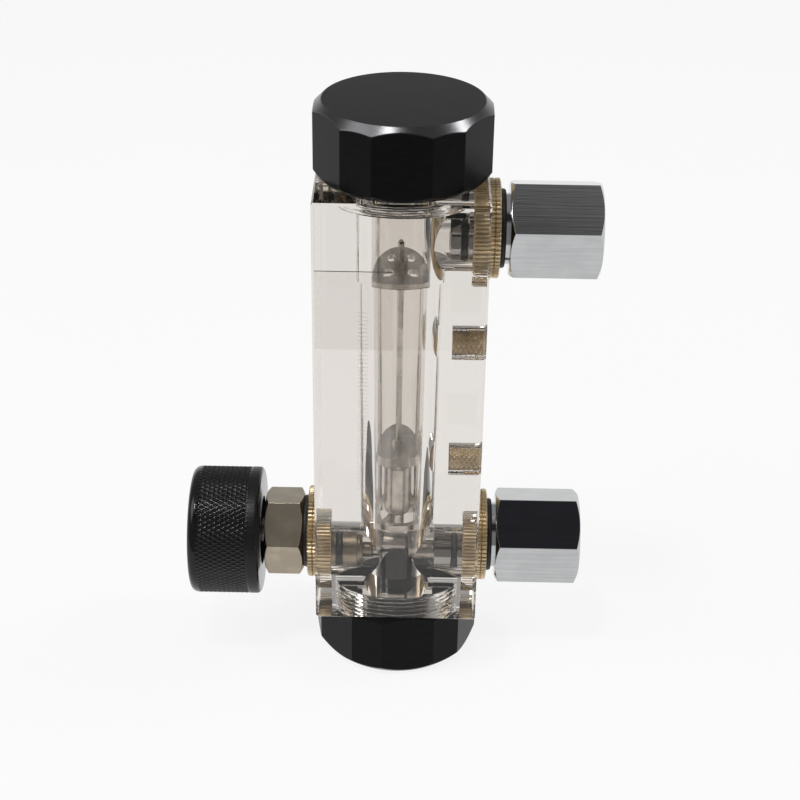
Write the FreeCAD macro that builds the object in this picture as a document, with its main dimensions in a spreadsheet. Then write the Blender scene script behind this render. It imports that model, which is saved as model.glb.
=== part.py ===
"""Clear acrylic block rotameter with a needle valve, as a parametric FreeCAD document.

Frame: origin at the centre of the bottom cap's underside, +Z up, the ports open towards +X,
the valve knob is at -X and the scale faces -Y.  Millimetres.
"""
import FreeCAD, Part
import math
import os
import re

import Sketcher

Vector = FreeCAD.Vector

# Driving dimensions: alias, value, meaning.
SIZES = [
    ("block_side", 50.0, "width and depth of the acrylic bar"),
    ("block_length", 140.0, "length of the bar between the caps"),
    ("block_edge", 0.6, "polished edge chamfer of the bar"),
    ("cap_height", 22.0, "cap outside the bar"),
    ("cap_flat_inset", 0.35, "flats of a cap's hexagon inside the bar's faces"),
    ("cap_corner_overhang", 0.5, "trimmed corners of that hexagon beyond the bar's faces"),
    ("cap_bevel", 1.35, "turned bevel at the outer face of a cap, at its flats"),
    ("cap_seat_bevel", 0.8, "turned bevel beside the bar"),
    ("cap_thread_diameter", 39.0, "thread of the bar's end bores"),
    ("cap_thread_depth", 5.6, "depth of the end bores"),
    ("cap_thread_gap", 0.15, "radial gap between plug and bore"),
    ("plug_length", 4.4, "threaded plug under a cap"),
    ("plug_bevel", 0.5, "lead-in of the plug"),
    ("seal_margin", 0.8, "from a cap's seal ring to the chamber beside it"),
    ("seal_fit", 0.05, "seal ring clear of the ledge over it"),
    ("low_chamber_diameter", 22.0, "inlet chamber"),
    ("upper_chamber_diameter", 27.0, "outlet chamber"),
    ("tube_low_diameter", 23.6, "tapered tube at its lower end"),
    ("tube_top_diameter", 25.0, "tapered tube at its upper end"),
    ("low_port_inset", 16.0, "inlet axis above the bar's lower end"),
    ("port_spacing", 107.0, "inlet axis to outlet axis"),
    ("guide_ledge_rise", 11.5, "guide ledge above the inlet axis"),
    ("stop_ledge_drop", 12.0, "stop ledge below the outlet axis"),
    ("port_bore", 19.2, "side bore for a fitting's nose"),
    ("insert_diameter", 28.0, "embedded body of a brass insert"),
    ("insert_depth", 4.5, "how deep an insert is set in"),
    ("insert_flange_diameter", 29.2, "knurled flange of an insert"),
    ("insert_proud", 3.4, "thickness of that flange"),
    ("insert_fit", 0.05, "radial gap round an embedded insert"),
    ("insert_bevel", 0.4, "turned edge of the flange"),
    ("stem_diameter", 20.8, "threaded stem of a fitting"),
    ("stem_fit", 0.1, "radial gap round a stem"),
    ("washer_diameter", 23.2, "sealing washer"),
    ("washer_thickness", 1.6, "sealing washer"),
    ("neck_length", 1.2, "round neck between washer and hexagon"),
    ("fitting_flats", 27.0, "hexagon of a coupling"),
    ("fitting_length", 26.6, "length of that hexagon"),
    ("fitting_bevel", 1.1, "axial depth of its turned bevels at the corners"),
    ("fitting_turn", 12.3, "a corner of the hexagon, off the vertical, degrees"),
    ("nose_diameter", 18.4, "nose of a coupling inside the bar"),
    ("nose_recess", 0.5, "nose end behind the chamber's wall"),
    ("flow_bore", 10.0, "waterway through a coupling"),
    ("pipe_thread_diameter", 18.6, "female pipe thread, inside its crests"),
    ("pipe_thread_depth", 16.0, "depth of that thread"),
    ("pipe_mouth_bevel", 1.2, "countersink at its mouth"),
    ("ring_section", 2.0, "nose seal ring, thickness"),
    ("ring_fit", 0.05, "ring clear of the bore round it"),
    ("groove_width", 2.4, "ring groove"),
    ("groove_setback", 1.2, "ring groove from the insert's end"),
    ("bonnet_flats", 24.4, "hexagon of the valve bonnet"),
    ("bonnet_hex_length", 12.1, "length of that hexagon"),
    ("bonnet_bevel", 1.0, "axial depth of its turned bevels at the corners"),
    ("bonnet_turn", 19.0, "a corner of the hexagon, off the vertical, degrees"),
    ("bonnet_nose_diameter", 18.0, "nose of the bonnet inside the bar"),
    ("bonnet_tip_diameter", 7.8, "slim tip that guides the needle"),
    ("bonnet_tip_reach", 3.4, "slim tip beyond the chamber's wall"),
    ("needle_diameter", 6.4, "straight part of the needle"),
    ("needle_fit", 0.08, "radial gap round needle and spindle"),
    ("needle_taper_length", 4.0, "cone at the needle's end"),
    ("needle_tip_diameter", 2.4, "small end of that cone"),
    ("seat_diameter", 11.0, "valve seat"),
    ("seat_reach", 6.0, "seat beyond the chamber's wall"),
    ("seat_grip", 3.0, "seat inside the nose"),
    ("seat_gap", 0.15, "closed needle short of its seat"),
    ("orifice_diameter", 5.4, "waterway through the seat"),
    ("gland_section", 1.8, "spindle seal ring, thickness"),
    ("gland_inset", 5.0, "spindle seal behind the bonnet's nose"),
    ("spindle_thread_diameter", 8.0, "threaded part of the spindle"),
    ("spindle_thread_start", 1.5, "that thread outside the washer's plane, when closed"),
    ("spindle_end_diameter", 6.0, "plain end that carries the knob"),
    ("knob_gap", 1.2, "closed knob clear of the bonnet"),
    ("knob_diameter", 40.7, "valve knob"),
    ("knob_length", 22.3, "valve knob"),
    ("knob_rim_round", 1.8, "rounded rims of the knob"),
    ("knob_band_inner", 3.9, "plain rim beside the bonnet"),
    ("knob_band_outer", 2.6, "plain rim at the outer face"),
    ("knob_line_depth", 0.5, "turned line at each end of the knurled band"),
    ("knob_recess_diameter", 22.0, "hollow in the knob's inner face"),
    ("knob_recess_depth", 3.0, "hollow in the knob's inner face"),
    ("screw_diameter", 3.0, "knob screw"),
    ("screw_length", 8.0, "knob screw under its head"),
    ("screw_fit", 0.1, "radial gap round the knob screw"),
    ("screw_head_diameter", 6.0, "knob screw"),
    ("screw_head_height", 2.4, "knob screw"),
    ("screw_socket", 2.5, "hexagon socket of the knob screw"),
    ("screw_socket_depth", 1.4, "hexagon socket of the knob screw"),
    ("rod_diameter", 3.0, "guide rod"),
    ("rod_rise", 7.8, "rod above the stop plate"),
    ("rod_point", 0.5, "bevelled ends of the rod"),
    ("rod_fit", 0.05, "radial gap where the rod is held"),
    ("stop_thickness", 1.5, "stop plate"),
    ("stop_fit", 0.2, "radial gap round the stop plate"),
    ("stop_hole_diameter", 5.0, "flow holes in the stop plate"),
    ("stop_hole_circle", 14.4, "their pitch circle"),
    ("stop_hole_count", 4.0, "number of those holes"),
    ("stop_hub_diameter", 8.8, "bush under the stop plate"),
    ("stop_hub_length", 4.6, "bush under the stop plate"),
    ("nut_flats", 5.5, "nut on the rod"),
    ("nut_height", 2.4, "nut on the rod"),
    ("guide_thickness", 2.0, "rim and spokes of the lower guide"),
    ("guide_rim", 1.6, "radial width of the guide's rim"),
    ("guide_fit", 0.15, "radial gap round the lower guide"),
    ("guide_hub_diameter", 7.0, "hub of the lower guide"),
    ("guide_hub_length", 5.5, "hub of the lower guide"),
    ("spoke_width", 2.0, "spokes of the lower guide"),
    ("spoke_count", 3.0, "number of those spokes"),
    ("float_body_diameter", 14.0, "float body"),
    ("float_body_length", 17.0, "float body"),
    ("float_body_round", 2.0, "rounded lower edge of the body"),
    ("float_cone_length", 4.0, "cone from body to head"),
    ("float_head_diameter", 22.5, "metering edge of the float"),
    ("float_rim_length", 2.5, "rim of the head"),
    ("float_rim_slope", 0.6, "how far the rim draws in towards its top"),
    ("float_hub_diameter", 7.0, "boss on top of the float"),
    ("float_hub_length", 2.0, "boss on top of the float"),
    ("float_fit", 0.1, "radial gap between float and rod"),
    ("scale_width", 22.2, "scale plate"),
    ("scale_height", 83.5, "scale plate"),
    ("scale_thickness", 0.5, "scale plate"),
    ("scale_side_margin", 0.8, "scale plate from the bar's left edge"),
    ("scale_low_margin", 36.4, "scale plate from the bar's lower end"),
    ("mount_insert_diameter", 11.0, "mounting insert in the port side of the bar"),
    ("mount_insert_length", 9.5, "mounting insert"),
    ("mount_insert_spacing", 40.0, "lower to upper mounting insert"),
    ("mount_insert_fit", 0.05, "radial gap round a mounting insert"),
    ("mount_thread_diameter", 4.2, "thread of a mounting insert, inside its crests"),
    ("overrun", 1.0, "how far a cut or a joined solid runs on past the face it meets"),
]

# Places worked out from the driving dimensions.
BLOCK_TOP = "(cap_height + block_length)"
BLOCK_FACE = "(block_side / 2)"
CAP_FLATS = "(block_side - 2 * cap_flat_inset)"
CAP_CORNERS = "(block_side + 2 * cap_corner_overhang)"
SEAL_R = "((cap_thread_depth - plug_length - seal_fit) / 2)"
THREAD_R = "(cap_thread_diameter / 2)"
LOW_LEDGE = "(cap_height + cap_thread_depth)"
TOP_LEDGE = "(" + BLOCK_TOP + " - cap_thread_depth)"
LOW_PORT = "(cap_height + low_port_inset)"
HIGH_PORT = "(" + LOW_PORT + " + port_spacing)"
GUIDE_LEDGE = "(" + LOW_PORT + " + guide_ledge_rise)"
STOP_LEDGE = "(" + HIGH_PORT + " - stop_ledge_drop)"
STOP_TOP = "(" + STOP_LEDGE + " + stop_thickness)"
LOW_R = "(low_chamber_diameter / 2)"
UPPER_R = "(upper_chamber_diameter / 2)"
INSERT_END = "(" + BLOCK_FACE + " - insert_depth)"
INSERT_FACE = "(" + BLOCK_FACE + " + insert_proud)"
WASHER_FACE = "(" + INSERT_FACE + " + washer_thickness)"
STEM_R = "(stem_diameter / 2)"
HOLD_R = "(" + STEM_R + " + stem_fit)"
HEX_START = "(" + WASHER_FACE + " + neck_length)"
HEX_END = "(" + HEX_START + " + fitting_length)"
GROOVE_OUT = "(" + INSERT_END + " - groove_setback)"
GROOVE_IN = "(" + GROOVE_OUT + " - groove_width)"
GROOVE_R = "(port_bore / 2 - ring_fit - ring_section)"
RING_MID = "((" + GROOVE_OUT + " + " + GROOVE_IN + ") / 2)"
RING_R = "(" + GROOVE_R + " + ring_section / 2)"
INLET_TIP = "(" + LOW_R + " + nose_recess)"
OUTLET_TIP = "(" + UPPER_R + " + nose_recess)"
SEAT_FACE = "(" + LOW_R + " - seat_reach)"
BONNET_END = "(" + WASHER_FACE + " + bonnet_hex_length)"
BONNET_TIP = "(" + LOW_R + " - bonnet_tip_reach)"
NEEDLE_R = "(needle_diameter / 2)"
NEEDLE_HOLE_R = "(" + NEEDLE_R + " + needle_fit)"
SPINDLE_R = "(spindle_thread_diameter / 2)"
SPINDLE_START = "(" + WASHER_FACE + " + spindle_thread_start)"
SPINDLE_END_R = "(spindle_end_diameter / 2)"
GLAND_IN = "(" + INLET_TIP + " + gland_inset)"
GLAND_R = "(" + NEEDLE_HOLE_R + " + gland_section)"
KNOB_FACE = "(" + BONNET_END + " + knob_gap)"
KNOB_END = "(" + KNOB_FACE + " + knob_length)"
KNOB_R = "(knob_diameter / 2)"
HEAD_FLOOR = "(" + KNOB_END + " - screw_head_height)"
ROD_R = "(rod_diameter / 2)"
ROD_HOLE_R = "(" + ROD_R + " + rod_fit)"
ROD_TOP = "(" + STOP_TOP + " + rod_rise)"
GUIDE_TOP = "(" + GUIDE_LEDGE + " + guide_thickness)"
GUIDE_FOOT = "(" + GUIDE_TOP + " - guide_hub_length)"
GUIDE_R = "(tube_low_diameter / 2 - guide_fit)"
LOW_MOUNT = "(cap_height + block_length / 2 - mount_insert_spacing / 2)"
HIGH_MOUNT = "(" + LOW_MOUNT + " + mount_insert_spacing)"
MOUNT_END = "(" + BLOCK_FACE + " - mount_insert_length)"

SHEET = "Sizes"
ALIASES = {alias for alias, size, meaning in SIZES}
WORD = re.compile(r"[A-Za-z_]\w*")
HEX = 6
LOWER_CAP_TURN = 9.3


def bound(text):
    """Return an expression with the sheet's name before each of its aliases."""
    def prefixed(match):
        word = match.group(0)
        return SHEET + "." + word if word in ALIASES else word
    return WORD.sub(prefixed, text)


def fill_sheet(doc):
    """Write the driving dimensions into the document's sheet."""
    sheet = doc.addObject("Spreadsheet::Sheet", SHEET)
    for row, (alias, size, meaning) in enumerate(SIZES, start=1):
        sheet.set("A%d" % row, alias)
        sheet.set("B%d" % row, "%g" % size)
        sheet.set("C%d" % row, meaning)
        sheet.setAlias("B%d" % row, alias)
    doc.recompute()
    return sheet


class SubPart:
    """A PartDesign body that becomes one node, with the features used on this object."""

    def __init__(self, doc, label):
        self.doc = doc
        self.label = label
        self.body = doc.addObject("PartDesign::Body", label)
        self.body.Label = label

    def plane(self, role):
        """Return one of the body's own origin planes."""
        return next(o for o in self.body.Origin.OriginFeatures if o.Role == role)

    def sketch(self, name, role, lift="0"):
        """Return an empty sketch on an origin plane, lifted along the plane's normal."""
        sketch = self.body.newObject("Sketcher::SketchObject", self.label + "_" + name)
        sketch.AttachmentSupport = (self.plane(role), [""])
        sketch.MapMode = "FlatFace"
        sketch.setExpression(".AttachmentOffset.Base.z", bound(lift))
        return sketch

    def outline(self, sketch, corners):
        """Draw a closed outline whose corners are bound to (x, y) expressions."""
        count = len(corners)
        first = sketch.GeometryCount
        for here in range(count):
            start = Vector(here, here * here, 0)
            after = (here + 1) % count
            end = Vector(after, after * after, 0)
            sketch.addGeometry(Part.LineSegment(start, end), False)
        for here in range(count):
            after = first + (here + 1) % count
            sketch.addConstraint(Sketcher.Constraint("Coincident", first + here, 2, after, 1))
        for here, (across, along) in enumerate(corners):
            self.pin(sketch, first + here, "DistanceX", across, here)
            self.pin(sketch, first + here, "DistanceY", along, here * here)

    def pin(self, sketch, line, kind, text, start):
        """Bind one coordinate of a line's first point to an expression."""
        row = sketch.addConstraint(Sketcher.Constraint(kind, -1, 1, line, 1, float(start)))
        sketch.setExpression("Constraints[%d]" % row, bound(text))

    def circle(self, sketch, across, along, diameter):
        """Draw a circle whose centre and diameter are bound to expressions."""
        line = sketch.addGeometry(Part.Circle(Vector(1, 1, 0), Vector(0, 0, 1), 1), False)
        for kind, text in (("DistanceX", across), ("DistanceY", along)):
            row = sketch.addConstraint(Sketcher.Constraint(kind, -1, 1, line, 3, 1.0))
            sketch.setExpression("Constraints[%d]" % row, bound(text))
        row = sketch.addConstraint(Sketcher.Constraint("Diameter", line, 2.0))
        sketch.setExpression("Constraints[%d]" % row, bound(diameter))

    def polygon(self, sketch, sides, flats, turn="0"):
        """Draw a regular polygon about the origin, a corner at the turn angle."""
        corner = "%s / 2 / cos(180 deg / %d)" % (flats, sides)
        corners = []
        for here in range(sides):
            angle = "(%s) * 1 deg + %g deg" % (turn, 360.0 * here / sides)
            corners.append(("%s * cos(%s)" % (corner, angle), "%s * sin(%s)" % (corner, angle)))
        self.outline(sketch, corners)

    def turned(self, name, profile, axis="Z", cut=False):
        """Revolve a closed (along, radius) profile about the local Z or X axis."""
        sketch = self.sketch(name + "_profile", "XZ_Plane")
        if axis == "Z":
            self.outline(sketch, [(radius, along) for along, radius in profile])
        else:
            self.outline(sketch, profile)
        return self.revolve(name, sketch, "V_Axis" if axis == "Z" else "H_Axis", cut)

    def revolve(self, name, sketch, line, cut):
        """Turn a sketch right round one of its axes, as material or as a cut."""
        kind = "PartDesign::Groove" if cut else "PartDesign::Revolution"
        feature = self.body.newObject(kind, self.label + "_" + name)
        feature.Profile = sketch
        feature.ReferenceAxis = (sketch, [line])
        feature.Angle = 360
        return self.kept(feature, cut)

    def pad(self, name, sketch, length):
        """Raise a sketch along its normal."""
        feature = self.body.newObject("PartDesign::Pad", self.label + "_" + name)
        feature.Profile = sketch
        feature.setExpression("Length", bound(length))
        return self.kept(feature, False)

    def pocket(self, name, sketch, depth, reverse=False):
        """Sink a sketch against its normal, or along it if reversed."""
        feature = self.body.newObject("PartDesign::Pocket", self.label + "_" + name)
        feature.Profile = sketch
        feature.Reversed = reverse
        feature.setExpression("Length", bound(depth))
        return self.kept(feature, True)

    def repeat(self, name, feature, axis, count):
        """Repeat a feature evenly about an axis of the body's origin."""
        pattern = self.body.newObject("PartDesign::PolarPattern", self.label + "_" + name)
        pattern.Originals = [feature]
        pattern.Axis = (self.plane(axis), [""])
        pattern.Angle = 360
        pattern.setExpression("Occurrences", bound(count))
        self.body.Tip = pattern
        self.doc.recompute()
        return pattern

    def rims(self, feature, sketch, corners):
        """Return the names of a feature's edges that pass through sketch corners."""
        names = []
        for corner in corners:
            point = sketch.Placement.multVec(sketch.Geometry[corner].StartPoint)
            probe = Part.Vertex(point)
            for number, edge in enumerate(feature.Shape.Edges, start=1):
                closed = edge.Curve.TypeId == "Part::GeomCircle"
                if closed and edge.distToShape(probe)[0] < 1e-6:
                    names.append("Edge%d" % number)
        return sorted(set(names))

    def rounded(self, name, feature, edges, radius):
        """Round edges of a feature."""
        fillet = self.body.newObject("PartDesign::Fillet", self.label + "_" + name)
        fillet.Base = (feature, edges)
        fillet.setExpression("Radius", bound(radius))
        return self.kept(fillet, False)

    def bevelled(self, name, feature, edges, size):
        """Chamfer edges of a feature."""
        chamfer = self.body.newObject("PartDesign::Chamfer", self.label + "_" + name)
        chamfer.Base = (feature, edges)
        chamfer.setExpression("Size", bound(size))
        return self.kept(chamfer, False)

    def kept(self, feature, cut):
        """Recompute after a feature, and stop if a cut removed nothing."""
        before = self.volume()
        self.doc.recompute()
        if cut and self.volume() > before - 1e-6:
            raise ValueError(feature.Label + " cuts nothing")
        return feature

    def volume(self):
        """Return the body's present volume."""
        shape = self.body.Shape
        return 0.0 if shape.isNull() else shape.Volume

    def place(self, height, turn=(0, 0, 1), angle=0.0):
        """Set the body at a height on the axis, turned by a fixed angle."""
        rotation = FreeCAD.Rotation(Vector(*turn), angle)
        self.body.Placement = FreeCAD.Placement(Vector(0, 0, 0), rotation)
        self.body.setExpression(".Placement.Base.z", bound(height))


def corner_bevel(part, name, flats, sides, end, depth, inward):
    """Turn a bevel on the corners of a polygon's end face, about the local X axis.

    The bevel starts at the flats on the end face and is `depth` long at the corners.
    """
    out = "(%s / 2 / cos(180 deg / %d))" % (flats, sides)
    near = "(%s / 2 * 0.98)" % flats
    wide = "(%s + (%s - %s) * 0.25)" % (out, out, near)
    sketch = part.sketch(name + "_profile", "XZ_Plane")
    back = "(%s %s %s * 1.25)" % (end, inward, depth)
    part.outline(sketch, [(end, near), (end, wide), (back, wide)])
    return part.revolve(name, sketch, "H_Axis", True)


def body_block(doc):
    """Acrylic bar with its chambers, tapered tube, port bores and end bores."""
    part = SubPart(doc, "body_block")
    base = part.sketch("section", "XY_Plane", "cap_height")
    part.polygon(base, 4, "block_side", "45")
    bar = part.pad("bar", base, "block_length")
    every = ["Edge%d" % (number + 1) for number in range(len(bar.Shape.Edges))]
    part.bevelled("edges", bar, every, "block_edge")
    part.turned("waterway", [
        ("cap_height - overrun", "0"),
        ("cap_height - overrun", THREAD_R),
        (LOW_LEDGE, THREAD_R),
        (LOW_LEDGE, LOW_R),
        (GUIDE_LEDGE, LOW_R),
        (GUIDE_LEDGE, "tube_low_diameter / 2"),
        (STOP_LEDGE, "tube_top_diameter / 2"),
        (STOP_LEDGE, UPPER_R),
        (TOP_LEDGE, UPPER_R),
        (TOP_LEDGE, THREAD_R),
        (BLOCK_TOP + " + overrun", THREAD_R),
        (BLOCK_TOP + " + overrun", "0"),
    ], cut=True)
    port_cut(part, "low_ports", LOW_PORT, "-" + BLOCK_FACE)
    port_cut(part, "high_port", HIGH_PORT, "0")
    sockets = part.sketch("mount_sockets_section", "YZ_Plane", BLOCK_FACE)
    for height in (LOW_MOUNT, HIGH_MOUNT):
        part.circle(sockets, "0", height, "mount_insert_diameter + 2 * mount_insert_fit")
    part.pocket("mount_sockets", sockets, "mount_insert_length")
    return part


def port_cut(part, name, height, start):
    """Cut port bores and insert pockets about a level axis, from `start` to the right face."""
    pocket = "(insert_diameter / 2 + insert_fit)"
    bore = "(port_bore / 2)"
    sketch = part.sketch(name + "_profile", "XZ_Plane")
    line = sketch.addGeometry(Part.LineSegment(Vector(0, 1, 0), Vector(1, 1, 0)), True)
    for end in (1, 2):
        row = sketch.addConstraint(Sketcher.Constraint("DistanceY", -1, 1, line, end, 1.0))
        sketch.setExpression("Constraints[%d]" % row, bound(height))
        sketch.addConstraint(Sketcher.Constraint("DistanceX", -1, 1, line, end, end - 1.0))
    right = [(INSERT_END, bore), (INSERT_END, pocket), (BLOCK_FACE, pocket), (BLOCK_FACE, "0")]
    left = [("0", "0"), ("0", bore)]
    if start != "0":
        inner = "-" + INSERT_END
        left = [(start, "0"), (start, pocket), (inner, pocket), (inner, bore)]
    corners = [(along, height + " + " + radius) for along, radius in left + right]
    part.outline(sketch, corners)
    return part.revolve(name, sketch, "Axis0", True)


def cap(doc, label):
    """Hexagon cap with trimmed corners, turned bevels and a plug, its seat at local zero."""
    part = SubPart(doc, label)
    base = part.sketch("section", "XY_Plane")
    part.polygon(base, HEX, CAP_FLATS)
    part.pad("hexagon", base, "cap_height")
    trim = part.sketch("trim_section", "XY_Plane")
    part.circle(trim, "0", "0", "2 * " + CAP_CORNERS)
    part.polygon(trim, HEX, CAP_CORNERS, "180 / %d" % HEX)
    part.pocket("corner_trim", trim, "cap_height", reverse=True)
    near = "(" + CAP_FLATS + " / 2 - cap_bevel)"
    part.turned("outer_bevel", [
        ("cap_height", near),
        ("cap_height", near + " + cap_bevel * 3"),
        ("cap_height - cap_bevel * 3", near + " + cap_bevel * 3"),
    ], cut=True)
    near = "(" + CAP_FLATS + " / 2 - cap_seat_bevel)"
    part.turned("seat_bevel", [
        ("0", near),
        ("0", near + " + cap_seat_bevel * 4"),
        ("cap_seat_bevel * 4", near + " + cap_seat_bevel * 4"),
    ], cut=True)
    plug = "(" + THREAD_R + " - cap_thread_gap)"
    part.turned("plug", [
        ("overrun", "0"),
        ("-plug_length", "0"),
        ("-plug_length", plug + " - plug_bevel"),
        ("plug_bevel - plug_length", plug),
        ("overrun", plug),
    ])
    return part


def cap_seal(doc, label, height, chamber):
    """Seal ring between the end of a cap's plug and the ledge of the bar."""
    ring = doc.addObject("Part::Torus", label)
    ring.Label = label
    ring.setExpression("Radius1", bound(chamber + " + seal_margin + " + SEAL_R))
    ring.setExpression("Radius2", bound(SEAL_R))
    ring.setExpression(".Placement.Base.z", bound(height))
    return ring


def mount_insert(doc, label, height):
    """Threaded insert that fastens the meter to a panel, flush with the port side."""
    part = SubPart(doc, label)
    rim = "mount_insert_diameter / 2"
    thread = "mount_thread_diameter / 2"
    part.turned("bush", [
        (MOUNT_END, thread),
        (MOUNT_END, rim),
        (BLOCK_FACE, rim),
        (BLOCK_FACE, thread),
    ], axis="X")
    part.place(height)
    return part


def scale_plate(doc):
    """Thin clear plate that carries the scale, on the front of the bar."""
    plate = doc.addObject("Part::Box", "scale_plate")
    plate.Label = "scale_plate"
    plate.setExpression("Length", bound("scale_width"))
    plate.setExpression("Width", bound("scale_thickness"))
    plate.setExpression("Height", bound("scale_height"))
    plate.setExpression(".Placement.Base.x", bound("scale_side_margin - " + BLOCK_FACE))
    plate.setExpression(".Placement.Base.y", bound("-scale_thickness - " + BLOCK_FACE))
    plate.setExpression(".Placement.Base.z", bound("cap_height + scale_low_margin"))
    return plate


def stop_plate(doc):
    """Round plate with flow holes, on the ledge over the tube."""
    part = SubPart(doc, "stop_plate")
    rim = UPPER_R + " - stop_fit"
    part.turned("disc", [
        ("0", ROD_HOLE_R),
        ("0", rim),
        ("stop_thickness", rim),
        ("stop_thickness", ROD_HOLE_R),
    ])
    hole = part.sketch("hole", "XY_Plane")
    half = "stop_hole_circle / 2 * cos(180 deg / stop_hole_count)"
    side = "stop_hole_circle / 2 * sin(180 deg / stop_hole_count)"
    part.circle(hole, half, side, "stop_hole_diameter")
    first = part.pocket("flow_hole", hole, "stop_thickness", reverse=True)
    part.repeat("flow_holes", first, "Z_Axis", "stop_hole_count")
    part.place(STOP_LEDGE)
    return part


def stop_hub(doc):
    """Bush under the stop plate, which the float meets at full flow."""
    part = SubPart(doc, "stop_hub")
    rim = "stop_hub_diameter / 2"
    part.turned("bush", [
        ("-stop_hub_length", ROD_HOLE_R),
        ("-stop_hub_length", rim),
        ("0", rim),
        ("0", ROD_HOLE_R),
    ])
    part.place(STOP_LEDGE)
    return part


def rod_nut(doc):
    """Nut that holds the rod in the stop plate."""
    part = SubPart(doc, "rod_nut")
    base = part.sketch("section", "XY_Plane")
    part.polygon(base, HEX, "nut_flats")
    part.circle(base, "0", "0", "2 * " + ROD_HOLE_R)
    part.pad("nut", base, "nut_height")
    part.place(STOP_TOP)
    return part


def guide_rod(doc):
    """Rod on the axis, from the lower guide to above the stop plate."""
    part = SubPart(doc, "guide_rod")
    slim = ROD_R + " - rod_point"
    part.turned("rod", [
        (GUIDE_FOOT, "0"),
        (GUIDE_FOOT, slim),
        (GUIDE_FOOT + " + rod_point", ROD_R),
        (ROD_TOP + " - rod_point", ROD_R),
        (ROD_TOP, slim),
        (ROD_TOP, "0"),
    ])
    return part


def lower_guide(doc):
    """Spoked ring on the ledge under the tube, with a hub round the rod."""
    part = SubPart(doc, "lower_guide")
    inner = GUIDE_R + " - guide_rim"
    part.turned("rim", [
        ("0", inner),
        ("0", GUIDE_R),
        ("guide_thickness", GUIDE_R),
        ("guide_thickness", inner),
    ])
    spoke = part.sketch("spoke_section", "XY_Plane")
    end = GUIDE_R + " - guide_rim / 2"
    half = "spoke_width / 2"
    start = "(guide_hub_diameter / 2 + " + ROD_HOLE_R + ") / 2"
    part.outline(spoke, [(start, "-" + half), (end, "-" + half), (end, half), (start, half)])
    first = part.pad("spoke", spoke, "guide_thickness")
    part.repeat("spokes", first, "Z_Axis", "spoke_count")
    part.turned("hub", [
        ("guide_thickness - guide_hub_length", ROD_HOLE_R),
        ("guide_thickness - guide_hub_length", "guide_hub_diameter / 2"),
        ("guide_thickness", "guide_hub_diameter / 2"),
        ("guide_thickness", ROD_HOLE_R),
    ])
    part.place(GUIDE_LEDGE)
    return part


def metering_float(doc):
    """Float with a sharp metering edge, at rest on the lower guide."""
    part = SubPart(doc, "metering_float")
    bore = "rod_diameter / 2 + float_fit"
    cone = "(float_body_length + float_cone_length)"
    rim = "(" + cone + " + float_rim_length)"
    top = "(" + rim + " + float_hub_length)"
    turned = part.turned("form", [
        ("0", bore),
        ("0", "float_body_diameter / 2"),
        ("float_body_length", "float_body_diameter / 2"),
        (cone, "float_head_diameter / 2"),
        (rim, "float_head_diameter / 2 - float_rim_slope"),
        (rim, "float_hub_diameter / 2"),
        (top, "float_hub_diameter / 2"),
        (top, bore),
    ])
    low_edge = part.rims(turned, turned.Profile[0], [1])
    part.rounded("low_edge", turned, low_edge, "float_body_round")
    part.place(GUIDE_TOP)
    return part


def insert(doc, label, height, angle):
    """Brass insert: knurled flange outside the bar, body set into it."""
    part = SubPart(doc, label)
    body = "insert_diameter / 2"
    flange = "insert_flange_diameter / 2"
    part.turned("ring", [
        (INSERT_END, HOLD_R),
        (INSERT_END, body),
        (BLOCK_FACE, body),
        (BLOCK_FACE, flange),
        (INSERT_FACE + " - insert_bevel", flange),
        (INSERT_FACE, flange + " - insert_bevel"),
        (INSERT_FACE, HOLD_R),
    ], axis="X")
    part.place(height, angle=angle)
    return part


def washer(doc, label, height, angle):
    """Sealing washer between an insert and a fitting."""
    part = SubPart(doc, label)
    rim = "washer_diameter / 2"
    part.turned("ring", [
        (INSERT_FACE, HOLD_R),
        (INSERT_FACE, rim),
        (WASHER_FACE, rim),
        (WASHER_FACE, HOLD_R),
    ], axis="X")
    part.place(height, angle=angle)
    return part


def nose_ring(doc, label, height, side):
    """Seal ring in the groove of a nose; side is 1 for the right, -1 for the left."""
    ring = doc.addObject("Part::Torus", label)
    ring.Label = label
    ring.setExpression("Radius1", bound(RING_R))
    ring.setExpression("Radius2", bound("ring_section / 2"))
    ring.Placement = FreeCAD.Placement(Vector(0, 0, 0), FreeCAD.Rotation(Vector(0, 1, 0), 90))
    ring.setExpression(".Placement.Base.x", bound("%d * %s" % (side, RING_MID)))
    ring.setExpression(".Placement.Base.z", bound(height))
    return ring


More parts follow.
